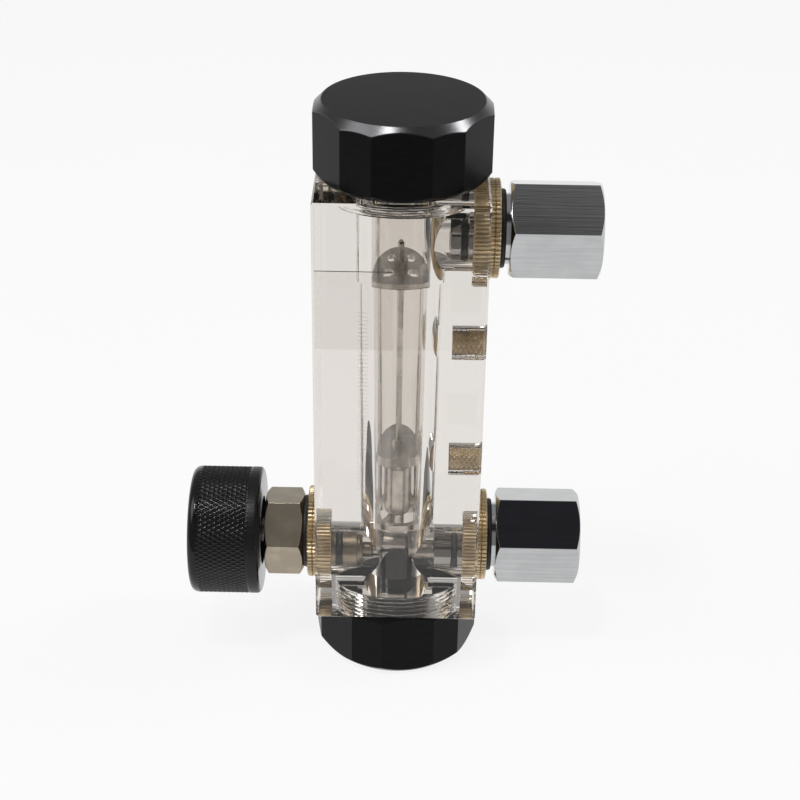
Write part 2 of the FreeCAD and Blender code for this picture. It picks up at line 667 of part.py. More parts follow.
def coupling(doc, label, height, tip, seat):
    """Chrome coupling: hexagon with a female pipe thread, stem, and grooved nose."""
    part = SubPart(doc, label)
    base = part.sketch("section", "YZ_Plane", HEX_START)
    part.polygon(base, HEX, "fitting_flats", "90 + fitting_turn")
    part.pad("hexagon", base, "fitting_length")
    corner_bevel(part, "outer_bevel", "fitting_flats", HEX, HEX_END, "fitting_bevel", "-")
    corner_bevel(part, "inner_bevel", "fitting_flats", HEX, HEX_START, "fitting_bevel", "+")
    nose = "nose_diameter / 2"
    part.turned("stem", [
        (tip, "0"),
        (tip, nose),
        (GROOVE_IN, nose),
        (GROOVE_IN, GROOVE_R),
        (GROOVE_OUT, GROOVE_R),
        (GROOVE_OUT, nose),
        (INSERT_END, nose),
        (INSERT_END, STEM_R),
        (HEX_START + " + overrun", STEM_R),
        (HEX_START + " + overrun", "0"),
    ], axis="X")
    thread = "pipe_thread_diameter / 2"
    end = HEX_END + " - pipe_thread_depth"
    mouth = [
        (end, thread),
        (HEX_END + " - pipe_mouth_bevel", thread),
        (HEX_END, thread + " + pipe_mouth_bevel"),
        (HEX_END, "0"),
    ]
    bore = [(tip, "0"), (tip, "flow_bore / 2"), (end, "flow_bore / 2")]
    if seat:
        grip = "(" + tip + " + seat_grip)"
        held = "seat_diameter / 2 + stem_fit"
        bore = [(tip, "0"), (tip, held), (grip, held), (grip, "flow_bore / 2"), bore[2]]
    part.turned("waterway", bore + mouth, axis="X", cut=True)
    part.place(height)
    return part


def valve_seat(doc):
    """Seat that stands out of the inlet nose into the chamber."""
    part = SubPart(doc, "valve_seat")
    rim = "seat_diameter / 2"
    hole = "orifice_diameter / 2"
    end = "(" + INLET_TIP + " + seat_grip)"
    part.turned("seat", [
        (SEAT_FACE, hole),
        (SEAT_FACE, rim),
        (end, rim),
        (end, hole),
    ], axis="X")
    part.place(LOW_PORT)
    return part


def valve_bonnet(doc):
    """Nickel bonnet: hexagon, stem, grooved nose and slim tip, bored for the spindle."""
    part = SubPart(doc, "valve_bonnet")
    base = part.sketch("section", "YZ_Plane", WASHER_FACE)
    part.polygon(base, HEX, "bonnet_flats", "90 - bonnet_turn")
    part.pad("hexagon", base, "bonnet_hex_length")
    corner_bevel(part, "outer_bevel", "bonnet_flats", HEX, BONNET_END, "bonnet_bevel", "-")
    corner_bevel(part, "inner_bevel", "bonnet_flats", HEX, WASHER_FACE, "bonnet_bevel", "+")
    nose = "bonnet_nose_diameter / 2"
    tip = "bonnet_tip_diameter / 2"
    part.turned("stem", [
        (BONNET_TIP, "0"),
        (BONNET_TIP, tip),
        (INLET_TIP, tip),
        (INLET_TIP, nose),
        (GROOVE_IN, nose),
        (GROOVE_IN, GROOVE_R),
        (GROOVE_OUT, GROOVE_R),
        (GROOVE_OUT, nose),
        (INSERT_END, nose),
        (INSERT_END, STEM_R),
        (WASHER_FACE + " + overrun", STEM_R),
        (WASHER_FACE + " + overrun", "0"),
    ], axis="X")
    thread = SPINDLE_R + " + needle_fit"
    shoulder = "(" + SPINDLE_START + " - needle_fit)"
    gland_out = GLAND_IN + " + gland_section"
    part.turned("spindle_bore", [
        (BONNET_TIP, "0"),
        (BONNET_TIP, NEEDLE_HOLE_R),
        (GLAND_IN, NEEDLE_HOLE_R),
        (GLAND_IN, GLAND_R),
        (gland_out, GLAND_R),
        (gland_out, NEEDLE_HOLE_R),
        (shoulder, NEEDLE_HOLE_R),
        (shoulder, thread),
        (BONNET_END, thread),
        (BONNET_END, "0"),
    ], axis="X", cut=True)
    part.place(LOW_PORT, angle=180)
    return part


def stem_ring(doc):
    """Seal ring round the spindle, inside the bonnet."""
    ring = doc.addObject("Part::Torus", "stem_o_ring")
    ring.Label = "stem_o_ring"
    ring.setExpression("Radius1", bound(NEEDLE_HOLE_R + " + gland_section / 2"))
    ring.setExpression("Radius2", bound("gland_section / 2"))
    ring.Placement = FreeCAD.Placement(Vector(0, 0, 0), FreeCAD.Rotation(Vector(0, 1, 0), 90))
    ring.setExpression(".Placement.Base.x", bound("-(" + GLAND_IN + " + gland_section / 2)"))
    ring.setExpression(".Placement.Base.z", bound(LOW_PORT))
    return ring


def valve_needle(doc):
    """Needle and spindle in one, closed against the seat."""
    part = SubPart(doc, "valve_needle")
    slope = "needle_taper_length / (needle_diameter - needle_tip_diameter)"
    sunk = "(needle_diameter - orifice_diameter) * " + slope
    full = "(seat_gap - " + SEAT_FACE + " + " + sunk + ")"
    tapped = "screw_diameter / 2 + screw_fit"
    hole_end = "(" + HEAD_FLOOR + " - screw_length - screw_fit)"
    spindle_step = "(" + KNOB_FACE + " + knob_recess_depth)"
    end = "(" + HEAD_FLOOR + " - 2 * screw_head_height)"
    part.turned("form", [
        (full + " - needle_taper_length", "0"),
        (full + " - needle_taper_length", "needle_tip_diameter / 2"),
        (full, NEEDLE_R),
        (SPINDLE_START, NEEDLE_R),
        (SPINDLE_START, SPINDLE_R),
        (spindle_step, SPINDLE_R),
        (spindle_step, SPINDLE_END_R),
        (end, SPINDLE_END_R),
        (end, tapped),
        (hole_end, tapped),
        (hole_end, "0"),
    ], axis="X")
    part.place(LOW_PORT, angle=180)
    return part


def valve_knob(doc):
    """Turned knob with rounded rims, a band for the knurl and a recessed screw."""
    part = SubPart(doc, "valve_knob")
    recess = "(" + KNOB_FACE + " + knob_recess_depth)"
    hub = "spindle_end_diameter / 2 + screw_fit"
    spindle_end = "(" + HEAD_FLOOR + " - 2 * screw_head_height + screw_fit)"
    hole = "screw_diameter / 2 + screw_fit"
    head = "screw_head_diameter / 2 + screw_fit"
    band_in = "(" + KNOB_FACE + " + knob_band_inner)"
    band_out = "(" + KNOB_END + " - knob_band_outer)"
    line = "(" + KNOB_R + " - knob_line_depth)"
    form = part.turned("form", [
        (KNOB_FACE, "knob_recess_diameter / 2"),
        (KNOB_FACE, KNOB_R),
        (band_in + " - knob_line_depth", KNOB_R),
        (band_in, line),
        (band_in + " + knob_line_depth", KNOB_R),
        (band_out + " - knob_line_depth", KNOB_R),
        (band_out, line),
        (band_out + " + knob_line_depth", KNOB_R),
        (KNOB_END, KNOB_R),
        (KNOB_END, head),
        (HEAD_FLOOR, head),
        (HEAD_FLOOR, hole),
        (spindle_end, hole),
        (spindle_end, hub),
        (recess, hub),
        (recess, "knob_recess_diameter / 2"),
    ], axis="X")
    rims = part.rims(form, form.Profile[0], [1, 8])
    part.rounded("rims", form, rims, "knob_rim_round")
    part.place(LOW_PORT, angle=180)
    return part


def knob_screw(doc):
    """Socket screw through the knob into the spindle."""
    part = SubPart(doc, "knob_screw")
    part.turned("form", [
        (HEAD_FLOOR + " - screw_length", "0"),
        (HEAD_FLOOR + " - screw_length", "screw_diameter / 2"),
        (HEAD_FLOOR, "screw_diameter / 2"),
        (HEAD_FLOOR, "screw_head_diameter / 2"),
        (KNOB_END, "screw_head_diameter / 2"),
        (KNOB_END, "0"),
    ], axis="X")
    socket = part.sketch("socket_section", "YZ_Plane", KNOB_END)
    part.polygon(socket, HEX, "screw_socket")
    part.pocket("socket", socket, "screw_socket_depth")
    part.place(LOW_PORT, angle=180)
    return part


def build(doc):
    """Make every sub-part and return the document objects that become nodes."""
    top = cap(doc, "top_cap")
    top.place(BLOCK_TOP)
    bottom = cap(doc, "bottom_cap")
    flip = math.radians(LOWER_CAP_TURN / 2)
    bottom.place("cap_height", (math.cos(flip), math.sin(flip), 0), 180.0)
    parts = [
        body_block(doc),
        top,
        bottom,
        mount_insert(doc, "lower_mount_insert", LOW_MOUNT),
        mount_insert(doc, "upper_mount_insert", HIGH_MOUNT),
        stop_plate(doc),
        stop_hub(doc),
        rod_nut(doc),
        guide_rod(doc),
        lower_guide(doc),
        metering_float(doc),
        coupling(doc, "outlet_fitting", HIGH_PORT, OUTLET_TIP, seat=False),
        coupling(doc, "inlet_fitting", LOW_PORT, INLET_TIP, seat=True),
        valve_seat(doc),
        valve_bonnet(doc),
        valve_needle(doc),
        valve_knob(doc),
        knob_screw(doc),
    ]
    places = (("outlet", HIGH_PORT, 0.0), ("inlet", LOW_PORT, 0.0), ("valve", LOW_PORT, 180.0))
    for name, height, angle in places:
        parts.append(insert(doc, name + "_insert", height, angle))
        parts.append(washer(doc, name + "_washer", height, angle))
    solids = [part.body for part in parts]
    solids.append(scale_plate(doc))
    low_seal = "cap_height + plug_length + " + SEAL_R
    solids.append(cap_seal(doc, "bottom_cap_seal", low_seal, LOW_R))
    top_seal = BLOCK_TOP + " - plug_length - " + SEAL_R
    solids.append(cap_seal(doc, "top_cap_seal", top_seal, UPPER_R))
    solids.append(stem_ring(doc))
    solids.append(nose_ring(doc, "outlet_o_ring", HIGH_PORT, 1))
    solids.append(nose_ring(doc, "inlet_o_ring", LOW_PORT, 1))
    solids.append(nose_ring(doc, "bonnet_o_ring", LOW_PORT, -1))
    return solids


def check(doc, solids):
    """Stop if any object failed or any sub-part has no sound shape."""
    for item in doc.Objects:
        if "Invalid" in item.State or "Error" in item.State:
            raise ValueError(item.Label + " did not compute")
    for item in solids:
        if item.Shape.isNull() or not item.Shape.isValid() or item.Shape.Volume <= 0:
            raise ValueError(item.Label + " has no sound shape")


def write(solids):
    """Write each sub-part to its own STEP file."""
    os.makedirs("parts", exist_ok=True)
    for item in solids:
        item.Shape.exportStep(os.path.join("parts", item.Label + ".step"))
        box = item.Shape.BoundBox
        corners = (box.XMin, box.XMax, box.YMin, box.YMax, box.ZMin, box.ZMax)
        print("%-18s %10.1f mm3  " % (item.Label, item.Shape.Volume),
              " ".join("%8.2f" % value for value in corners))


def main():
    """Build the document, check it and write the sub-parts."""
    doc = FreeCAD.newDocument("rotameter")
    fill_sheet(doc)
    solids = build(doc)
    doc.recompute()
    check(doc, solids)
    write(solids)


main()
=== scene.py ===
"""Dressed model of a clear-block rotameter: acrylic bar, screw caps, couplings, valve and float.

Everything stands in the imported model's own frame: +Z up along the tube, +X towards the pipe
couplings, -X towards the valve knob, -Y towards the scale.  Sizes are in millimetres, and the
meshes are brought to metres as they are finished.
"""
from __future__ import annotations

import logging
import math
from dataclasses import dataclass
from enum import Enum
from typing import Callable, Sequence

import bmesh
import bpy
from mathutils import Matrix, Vector

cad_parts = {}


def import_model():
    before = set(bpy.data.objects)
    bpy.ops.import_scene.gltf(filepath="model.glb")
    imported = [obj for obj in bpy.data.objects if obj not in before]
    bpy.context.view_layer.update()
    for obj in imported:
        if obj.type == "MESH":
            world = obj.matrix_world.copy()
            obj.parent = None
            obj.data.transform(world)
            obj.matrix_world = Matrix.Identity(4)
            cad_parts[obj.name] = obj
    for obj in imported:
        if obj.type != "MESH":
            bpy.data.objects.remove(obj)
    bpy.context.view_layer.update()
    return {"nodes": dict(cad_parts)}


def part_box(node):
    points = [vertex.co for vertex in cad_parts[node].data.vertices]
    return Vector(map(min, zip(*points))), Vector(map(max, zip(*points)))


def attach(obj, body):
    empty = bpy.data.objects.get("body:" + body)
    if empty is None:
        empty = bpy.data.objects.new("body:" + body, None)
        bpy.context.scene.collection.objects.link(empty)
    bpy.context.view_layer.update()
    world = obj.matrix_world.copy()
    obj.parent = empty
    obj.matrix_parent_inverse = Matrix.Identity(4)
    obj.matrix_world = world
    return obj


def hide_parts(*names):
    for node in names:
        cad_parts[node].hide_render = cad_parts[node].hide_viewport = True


MM = 0.001
OVERRUN = 1.0  # how far a tool runs past what it cuts, and a plug into its cap
OVERLAP = 0.5  # how far a stem runs into its hexagon
GROOVE_HALF = 1.2  # half the width of a seal ring's groove
HEX = 6
WHITE = (1.0, 1.0, 1.0)
LOG = logging.getLogger("rotameter")

Colour = tuple[float, float, float]
Points = list[tuple[float, float]]
Wave = Callable[[float, float, float], float]
Bore = tuple[Points, "Wave | None"]
Piece = bpy.types.Object
Node = bpy.types.Node
Socket = bpy.types.NodeSocket


class Cut(Enum):
    """How a tool shape changes a blank."""

    CARVE = "DIFFERENCE"
    KEEP = "INTERSECT"


class Way(Enum):
    """The direction in which a turned piece is measured from its seat."""

    UP = (0.0, 0.0, 1.0)
    DOWN = (0.0, 0.0, -1.0)
    RIGHT = (1.0, 0.0, 0.0)
    LEFT = (-1.0, 0.0, 0.0)


class Grain(Enum):
    """The marks that a tool leaves on metal."""

    TURNED_LEVEL = "X"
    TURNED_UPRIGHT = "Z"
    BRUSHED = "brushed"


class Wire:
    """A shader value that takes part in Python arithmetic by adding Math nodes."""

    def __init__(self, paint: Paint, socket: Socket) -> None:
        """Wrap an output socket of a paint's tree."""
        self.paint = paint
        self.socket = socket

    def __add__(self, other: Wire | float) -> Wire:
        """Return self + other."""
        return self.paint.maths("ADD", self, other)

    __radd__ = __add__

    def __sub__(self, other: Wire | float) -> Wire:
        """Return self - other."""
        return self.paint.maths("SUBTRACT", self, other)

    def __rsub__(self, other: float) -> Wire:
        """Return other - self."""
        return self.paint.maths("SUBTRACT", other, self)

    def __mul__(self, other: Wire | float) -> Wire:
        """Return self * other."""
        return self.paint.maths("MULTIPLY", self, other)

    __rmul__ = __mul__

    def root(self) -> Wire:
        """Return the square root."""
        return self.paint.maths("SQRT", self)

    def sine(self) -> Wire:
        """Return the sine."""
        return self.paint.maths("SINE", self)

    def most(self, other: Wire | float) -> Wire:
        """Return the larger of the two values."""
        return self.paint.maths("MAXIMUM", self, other)

    def between(self, low: float, high: float) -> Wire:
        """Return a smooth step from 0 at low to 1 at high."""
        settings = {"interpolation_type": "SMOOTHSTEP"}
        values = {"Value": self, "From Min": low, "From Max": high}
        node = self.paint.node("ShaderNodeMapRange", settings, values)
        return Wire(self.paint, node.outputs["Result"])


class Paint:
    """The node tree of one material or world, built from Python expressions."""

    def __init__(self, tree: bpy.types.NodeTree) -> None:
        """Start on the emptied tree of a material or a world."""
        self.tree = tree
        tree.nodes.clear()

    def node(
        self, kind: str, settings: dict | None = None, values: dict | None = None
    ) -> Node:
        """Add a node.

        Args:
            kind: The node's type.
            settings: Its own settings, set first.
            values: What each input holds, a plain value or something to link.

        Returns:
            The new node.
        """
        node = self.tree.nodes.new(kind)
        for key, value in (settings or {}).items():
            setattr(node, key, value)
        for key, value in (values or {}).items():
            self.feed(node.inputs[key], value)
        return node

    def feed(self, socket: Socket, value: object) -> None:
        """Link a wire or socket to an input, or set the input to a plain value."""
        if isinstance(value, Wire):
            self.tree.links.new(value.socket, socket)
        elif isinstance(value, Socket):
            self.tree.links.new(value, socket)
        elif isinstance(value, tuple) and len(value) == 3 and socket.type == "RGBA":
            socket.default_value = (*value, 1.0)
        else:
            socket.default_value = value

    def maths(self, operation: str, *terms: Wire | float) -> Wire:
        """Add a Math node over the terms and return its value."""
        node = self.node("ShaderNodeMath", {"operation": operation}, dict(enumerate(terms)))
        return Wire(self, node.outputs[0])

    def place(self, stretch: Colour = (1.0, 1.0, 1.0)) -> Socket:
        """Return the point on the object in millimetres, each axis times its stretch."""
        here = self.node("ShaderNodeTexCoord").outputs["Object"]
        values = {0: here, 1: tuple(Vector(stretch) / MM)}
        node = self.node("ShaderNodeVectorMath", {"operation": "MULTIPLY"}, values)
        return node.outputs["Vector"]

    def axes(self, vector: Socket | None = None) -> tuple[Wire, Wire, Wire]:
        """Return the three parts of a vector, or else of the point on the object."""
        node = self.node("ShaderNodeSeparateXYZ", values={0: vector or self.place()})
        return tuple(Wire(self, node.outputs[part]) for part in range(3))

    def radius(self) -> Wire:
        """Return how far the point on the object is from the tube's axis."""
        x, y, _ = self.axes()
        return (x * x + y * y).root()

    def noise(
        self, stretch: Colour, detail: float = 3.0, rough: float = 0.55, seed: float = 0.0
    ) -> Wire:
        """Return fractal noise, 0 to 1.

        Args:
            stretch: Grains per millimetre along each axis.
            detail: Octaves of the noise.
            rough: How strong the finer octaves are.
            seed: Which stretch of noise is read.
        """
        values = {"Vector": self.place(stretch), "W": seed, "Scale": 1.0}
        values |= {"Detail": detail, "Roughness": rough}
        node = self.node("ShaderNodeTexNoise", {"noise_dimensions": "4D"}, values)
        return Wire(self, node.outputs[0])

    def blend(self, share: Wire | float, first: object, second: object) -> Socket:
        """Return a colour that goes from first to second with share."""
        node = self.node("ShaderNodeMix", {"data_type": "RGBA"}, {"Factor": share})
        self.feed(node.inputs[6], first)
        self.feed(node.inputs[7], second)
        return node.outputs[2]

    def bump(self, height: Wire, depth: float) -> Socket:
        """Return a normal from a height, 0 to 1, that stands for depth in millimetres."""
        values = {"Strength": 1.0, "Distance": depth * MM, "Height": height}
        return self.node("ShaderNodeBump", None, values).outputs["Normal"]

    def either(self, share: Wire, first: Node, second: Node) -> None:
        """Send a mix of two shaders to the output, all second where share is 1."""
        values = {0: share, 1: first.outputs[0], 2: second.outputs[0]}
        self.show(self.node("ShaderNodeMixShader", None, values))

    def surface(self, **values: object) -> Node:
        """Add a Principled shader whose sockets are named with underscores for spaces."""
        named = {key.replace("_", " "): value for key, value in values.items()}
        return self.node("ShaderNodeBsdfPrincipled", None, named)

    def show(self, shader: Node) -> None:
        """Send a shader to the output."""
        self.node("ShaderNodeOutputMaterial", None, {"Surface": shader.outputs[0]})

    def coat(self, **values: object) -> None:
        """Send a Principled shader with these values to the output."""
        self.show(self.surface(**values))


Skin = tuple[Socket, Wire | float, Wire | float]


@dataclass(frozen=True)
class Finish:
    """What every finish of this meter has: a name and the record's slot that it fills."""

    name: str
    slot: str

    def material(self) -> bpy.types.Material:
        """Return the finish as a material, made the first time it is asked for."""
        made = bpy.data.materials.get(self.name)
        if made is None:
            made = bpy.data.materials.new(self.name)
            made.use_nodes = True
            self.paint(Paint(made.node_tree))
        return made

    def paint(self, paint: Paint) -> None:
        """Build the node tree; each kind of finish has its own."""
        raise NotImplementedError(self.name)


@dataclass(frozen=True)
class Metal(Finish):
    """Bare or plated metal with the marks of its last tool."""

    colour: Colour
    shade: Colour
    grain: Grain
    roughness: float
    spread: float
    lines: float
    depth: float

    def paint(self, paint: Paint) -> None:
        """Lay tool lines, uneven polish and a little tarnish."""
        stretch = {
            Grain.TURNED_LEVEL: (self.lines, 0.02, 0.02),
            Grain.TURNED_UPRIGHT: (0.02, 0.02, self.lines),
            Grain.BRUSHED: (0.04, self.lines, self.lines),
        }[self.grain]
        marks = paint.noise(stretch, detail=4.0, rough=0.65)
        patch = paint.noise((0.12, 0.12, 0.12), detail=2.0, seed=3.0).between(0.35, 0.75)
        smear = paint.noise((0.7, 0.7, 0.7), detail=3.0, seed=8.0)
        patchy = 0.15 if self.grain is Grain.BRUSHED else 0.6
        tone = (patch * patchy + marks * (1.0 - patchy)).between(0.2, 0.8)
        rough = self.roughness + self.spread * (marks * 0.6 + smear * 0.4 - 0.5)
        paint.coat(
            Base_Color=paint.blend(tone, self.shade, self.colour),
            Metallic=1.0,
            Roughness=rough.most(0.03),
            Normal=paint.bump(marks, self.depth),
        )


@dataclass(frozen=True)
class Anodised(Finish):
    """Black anodised aluminium with a fine satin grain."""

    colour: Colour
    worn: Colour
    roughness: float
    sheen: float
    ring_lines: float

    def skin(self, paint: Paint, grain: Wire) -> Skin:
        """Return the banded and dusty colour, how metallic it is and how much rougher."""
        band = paint.noise((0.25, 0.25, 0.9), detail=2.0, seed=5.0)
        dust = paint.noise((1.6, 1.6, 1.6), detail=5.0, rough=0.8, seed=12.0).between(0.66, 0.8)
        tone = (band * 0.5 + grain * 0.3 + dust * 0.25).between(0.15, 0.95)
        return paint.blend(tone, self.colour, self.worn), 0.0, 0.0

    def paint(self, paint: Paint) -> None:
        """Lay faint turned rings and satin grain on the skin."""
        rings = ((paint.radius() * self.ring_lines).sine() * 0.5 + 0.5) * 0.5
        grain = paint.noise((5.0, 5.0, 5.0), detail=4.0, rough=0.7)
        colour, metallic, rougher = self.skin(paint, grain)
        paint.coat(
            Base_Color=colour,
            Metallic=metallic,
            Specular_IOR_Level=self.sheen,
            Roughness=0.12 * (grain - 0.5) + self.roughness + rougher,
            Normal=paint.bump(rings + grain * 0.6, 0.006),
        )


@dataclass(frozen=True)
class AnodisedCap(Anodised):
    """The same skin, with painted sheen on the turned bevels and machined off on the seat."""

    painted_sheen: Colour
    bare: Colour
    centre: float
    bevel_reach: float
    seat_reach: float
    seat_bore: float

    def skin(self, paint: Paint, grain: Wire) -> Skin:
        """Return the skin, with painted sheen on the bevels and bare metal on the seat, both
        metallic.
        """
        colour, _, rougher = super().skin(paint, grain)
        radius = paint.radius()
        _, _, z = paint.axes()
        rise = paint.maths("ABSOLUTE", z - self.centre)
        # Painted sheen: the turned bevel ring gets a lighter metallic grey, so it reads brighter
        # than the black skin and reflects the lamps as glints
        bevel = (rise + radius).between(self.bevel_reach - 0.2, self.bevel_reach - 0.05)
        seat = rise.between(self.seat_reach + 0.06, self.seat_reach + 0.02)
        seat = seat * radius.between(self.seat_bore - 0.1, self.seat_bore + 0.1)
        colour = paint.blend(seat, paint.blend(bevel, colour, self.painted_sheen), self.bare)
        return colour, bevel.most(seat), rougher


@dataclass(frozen=True)
class AnodisedKnob(Anodised):
    """The same skin, matt on the smooth rim beside the bonnet."""

    rim_start: float
    rim_end: float
    rim_matting: float

    def skin(self, paint: Paint, grain: Wire) -> Skin:
        """Return the skin, rougher on the rim."""
        colour, metallic, _ = super().skin(paint, grain)
        x, _, _ = paint.axes()
        rim = x.between(self.rim_start - 0.1, self.rim_start + 0.1)
        face = x.between(self.rim_end - 0.4, self.rim_end)
        return colour, metallic, (rim - face) * self.rim_matting


@dataclass(frozen=True)
class Rubber(Finish):
    """Soft black seal material."""

    colour: Colour
    roughness: float

    def paint(self, paint: Paint) -> None:
        """Lay a matt skin with a fine bloom."""
        grain = paint.noise((3.0, 3.0, 3.0), detail=5.0, rough=0.7)
        bloom = paint.noise((0.5, 0.5, 0.5), detail=3.0, seed=4.0).between(0.4, 0.8)
        light = tuple(part * 2.2 + 0.01 for part in self.colour)
        paint.coat(
            Base_Color=paint.blend(bloom, self.colour, light),
            Roughness=self.roughness + 0.15 * (grain - 0.5),
            Normal=paint.bump(grain, 0.02),
        )


@dataclass(frozen=True)
class Clear(Finish):
    """Clear acrylic, which lets lamps through to what it holds."""

    tint: Colour
    shadow: Colour
    haze: float

    def paint(self, paint: Paint) -> None:
        """Lay polished faces with a trace of handling, clear to lamps."""
        scuffs = paint.noise((0.3, 0.3, 2.5), detail=4.0, rough=0.7).between(0.5, 0.9)
        glass = paint.surface(
            Base_Color=self.tint,
            Roughness=self.haze * scuffs,
            IOR=1.49,
            Transmission_Weight=1.0,
        )
        open_way = paint.node("ShaderNodeBsdfTransparent", None, {"Color": self.shadow})
        lamp = paint.node("ShaderNodeLightPath").outputs["Is Shadow Ray"]
        paint.either(Wire(paint, lamp), glass, open_way)


@dataclass(frozen=True)
class Ink(Finish):
    """Printed ink of the scale."""

    colour: Colour
    faded: Colour
    cover: float

    def paint(self, paint: Paint) -> None:
        """Lay ink in a fine, slightly uneven film."""
        wear = paint.noise((1.5, 1.5, 1.5), detail=4.0).between(0.3, 0.8)
        paint.coat(
            Base_Color=paint.blend(wear, self.colour, self.faded),
            Roughness=0.5 + 0.2 * wear,
            Alpha=self.cover * (1.0 - 0.5 * wear),
        )


ACRYLIC = Clear("clear_acrylic", "acrylic", (0.79, 0.755, 0.715), (0.80, 0.78, 0.75), haze=0.008)
SCALE_FILM = Clear("scale_film", "scale", (0.97, 0.96, 0.955), (0.93, 0.92, 0.92), haze=0.02)
# The cap's bevels are painted a lighter metallic grey as sheen
CAP_BLACK = AnodisedCap(
    "cap_black", "black_cap", (0.006, 0.006, 0.007), (0.014, 0.014, 0.015),
    roughness=0.26, sheen=0.07, ring_lines=9.0, painted_sheen=(0.085, 0.085, 0.088), bare=(0.62, 0.62, 0.61),
    centre=92.0, bevel_reach=115.3, seat_reach=70.04, seat_bore=19.0,
)
KNOB_BLACK = AnodisedKnob(
    "knob_black", "black_knob", (0.004, 0.004, 0.005), (0.010, 0.010, 0.011),
    roughness=0.15, sheen=0.30, ring_lines=0.0, rim_start=-46.6, rim_end=-43.5, rim_matting=0.27,
)
BRASS = Metal(
    "turned_brass", "brass", (0.79, 0.64, 0.42), (0.58, 0.46, 0.29),
    Grain.TURNED_LEVEL, roughness=0.34, spread=0.2, lines=3.0, depth=0.01,
)
CHROME = Metal(
    "chrome_plate", "chrome", (0.55, 0.555, 0.56), (0.425, 0.43, 0.435),
    Grain.BRUSHED, roughness=0.06, spread=0.05, lines=1.3, depth=0.018,
)
NICKEL = Metal(
    "nickel_plate", "nickel", (0.42, 0.365, 0.285), (0.34, 0.295, 0.23),
    Grain.TURNED_LEVEL, roughness=0.30, spread=0.14, lines=2.5, depth=0.005,
)
STEEL_LEVEL = Metal(
    "steel_turned", "steel", (0.62, 0.595, 0.57), (0.46, 0.44, 0.42),
    Grain.TURNED_LEVEL, roughness=0.24, spread=0.16, lines=4.0, depth=0.008,
)
STEEL_UPRIGHT = Metal(
    "steel_upright", "steel", (0.84, 0.81, 0.77), (0.62, 0.60, 0.57),
    Grain.TURNED_UPRIGHT, roughness=0.26, spread=0.16, lines=4.0, depth=0.008,
)
SEAL = Rubber("seal_rubber", "rubber", (0.012, 0.012, 0.013), 0.55)
SCALE_INK = Ink("scale_ink", "scale", (0.84, 0.60, 0.58), (0.88, 0.70, 0.66), 0.3)


def placed(name: str, data: bpy.types.ID) -> Piece:
    """Put an object with this data into the scene."""
    made = bpy.data.objects.new(name, data)
    bpy.context.scene.collection.objects.link(made)
    return made


def hardened(name: str, mesh: bmesh.types.BMesh) -> Piece:
    """Use up a mesh under construction and put it into the scene as a piece."""
    data = bpy.data.meshes.new(name)
    mesh.to_mesh(data)
    mesh.free()
    return placed(name, data)


def directions(way: Way) -> tuple[Vector, Vector, Vector]:
    """Return an axis and the two directions across it."""
    axis = Vector(way.value)
    side = Vector((1.0, 0.0, 0.0)) if way in (Way.UP, Way.DOWN) else Vector((0.0, 1.0, 0.0))
    return axis, side, axis.cross(side)


class Shape:
    """A mesh that is built in millimetres and finished as one piece of the model."""

    def __init__(self, name: str) -> None:
        """Start with nothing but the piece's name."""
        self.name = name
        self.mesh = bmesh.new()

    def turn(
        self, profile: Points, seat: Vector, way: Way, steps: int = 128, ring: bool = False,
        wave: Wave | None = None,
    ) -> Shape:
        """Turn a profile right round an axis.

        Args:
            profile: (along, radius) points; a radius of nothing closes the form there.
            seat: Where the axis starts.
            way: Where the axis points.
            steps: Facets round the axis.
            ring: True if the profile closes on itself.
            wave: Gives the radius at an angle, place along and plain radius.

        Returns:
            The shape itself.
        """
        axis, side, other = directions(way)
        rows = []
        for along, radius in profile:
            if radius == 0.0:
                rows.append([self.mesh.verts.new(seat + axis * along)] * steps)
                continue
            row = []
            for step in range(steps):
                angle = math.tau * step / steps
                out = radius if wave is None else wave(angle, along, radius)
                spot = side * math.cos(angle) + other * math.sin(angle)
                row.append(self.mesh.verts.new(seat + axis * along + spot * out))
            rows.append(row)
        pairs = list(zip(rows, rows[1:]))
        if ring:
            pairs.append((rows[-1], rows[0]))
        for near, far in pairs:
            for step in range(steps):
                after = (step + 1) % steps
                corners = dict.fromkeys((near[step], far[step], far[after], near[after]))
                self.mesh.faces.new(list(corners))
        return self

    def prism(self, corners: Sequence[Vector], reach: Vector) -> Shape:
        """Draw a flat outline out along a vector.

        Args:
            corners: The outline's corners in order.
            reach: From the first face to the last.

        Returns:
            The shape itself.
        """
        near = [self.mesh.verts.new(corner) for corner in corners]
        far = [self.mesh.verts.new(corner + reach) for corner in corners]
        self.mesh.faces.new(near)
        self.mesh.faces.new(far)
        for here, corner in enumerate(near):
            after = (here + 1) % len(near)
            self.mesh.faces.new((corner, near[after], far[after], far[here]))
        return self

    def box(self, low: Vector, high: Vector) -> Shape:
        """Add a block between two corners."""
        outline = ((low.x, low.y), (high.x, low.y), (high.x, high.y), (low.x, high.y))
        corners = [Vector((x, y, low.z)) for x, y in outline]
        return self.prism(corners, Vector((0.0, 0.0, high.z - low.z)))

    def object(self) -> Piece:
        """Return the mesh so far as an object in metres, with its faces turned outwards."""
        bmesh.ops.recalc_face_normals(self.mesh, faces=self.mesh.faces)
        self.mesh.transform(Matrix.Scale(MM, 4))
        return hardened(self.name, self.mesh)


def worked(blank: Piece, kind: str, **settings: object) -> Piece:
    """Put a modifier on a piece and make its result the piece's own mesh.

    Args:
        blank: The piece.
        kind: The modifier's type.
        settings: The modifier's settings.

    Returns:
        The same piece.
    """
    modifier = blank.modifiers.new(kind.lower(), kind)
    for key, value in settings.items():
        setattr(modifier, key, value)
    bpy.context.view_layer.update()
    graph = bpy.context.evaluated_depsgraph_get()
    data = bpy.data.meshes.new_from_object(blank.evaluated_get(graph))
    blank.modifiers.clear()
    old = blank.data
    blank.data = data
    bpy.data.meshes.remove(old)
    data.name = blank.name
    return blank


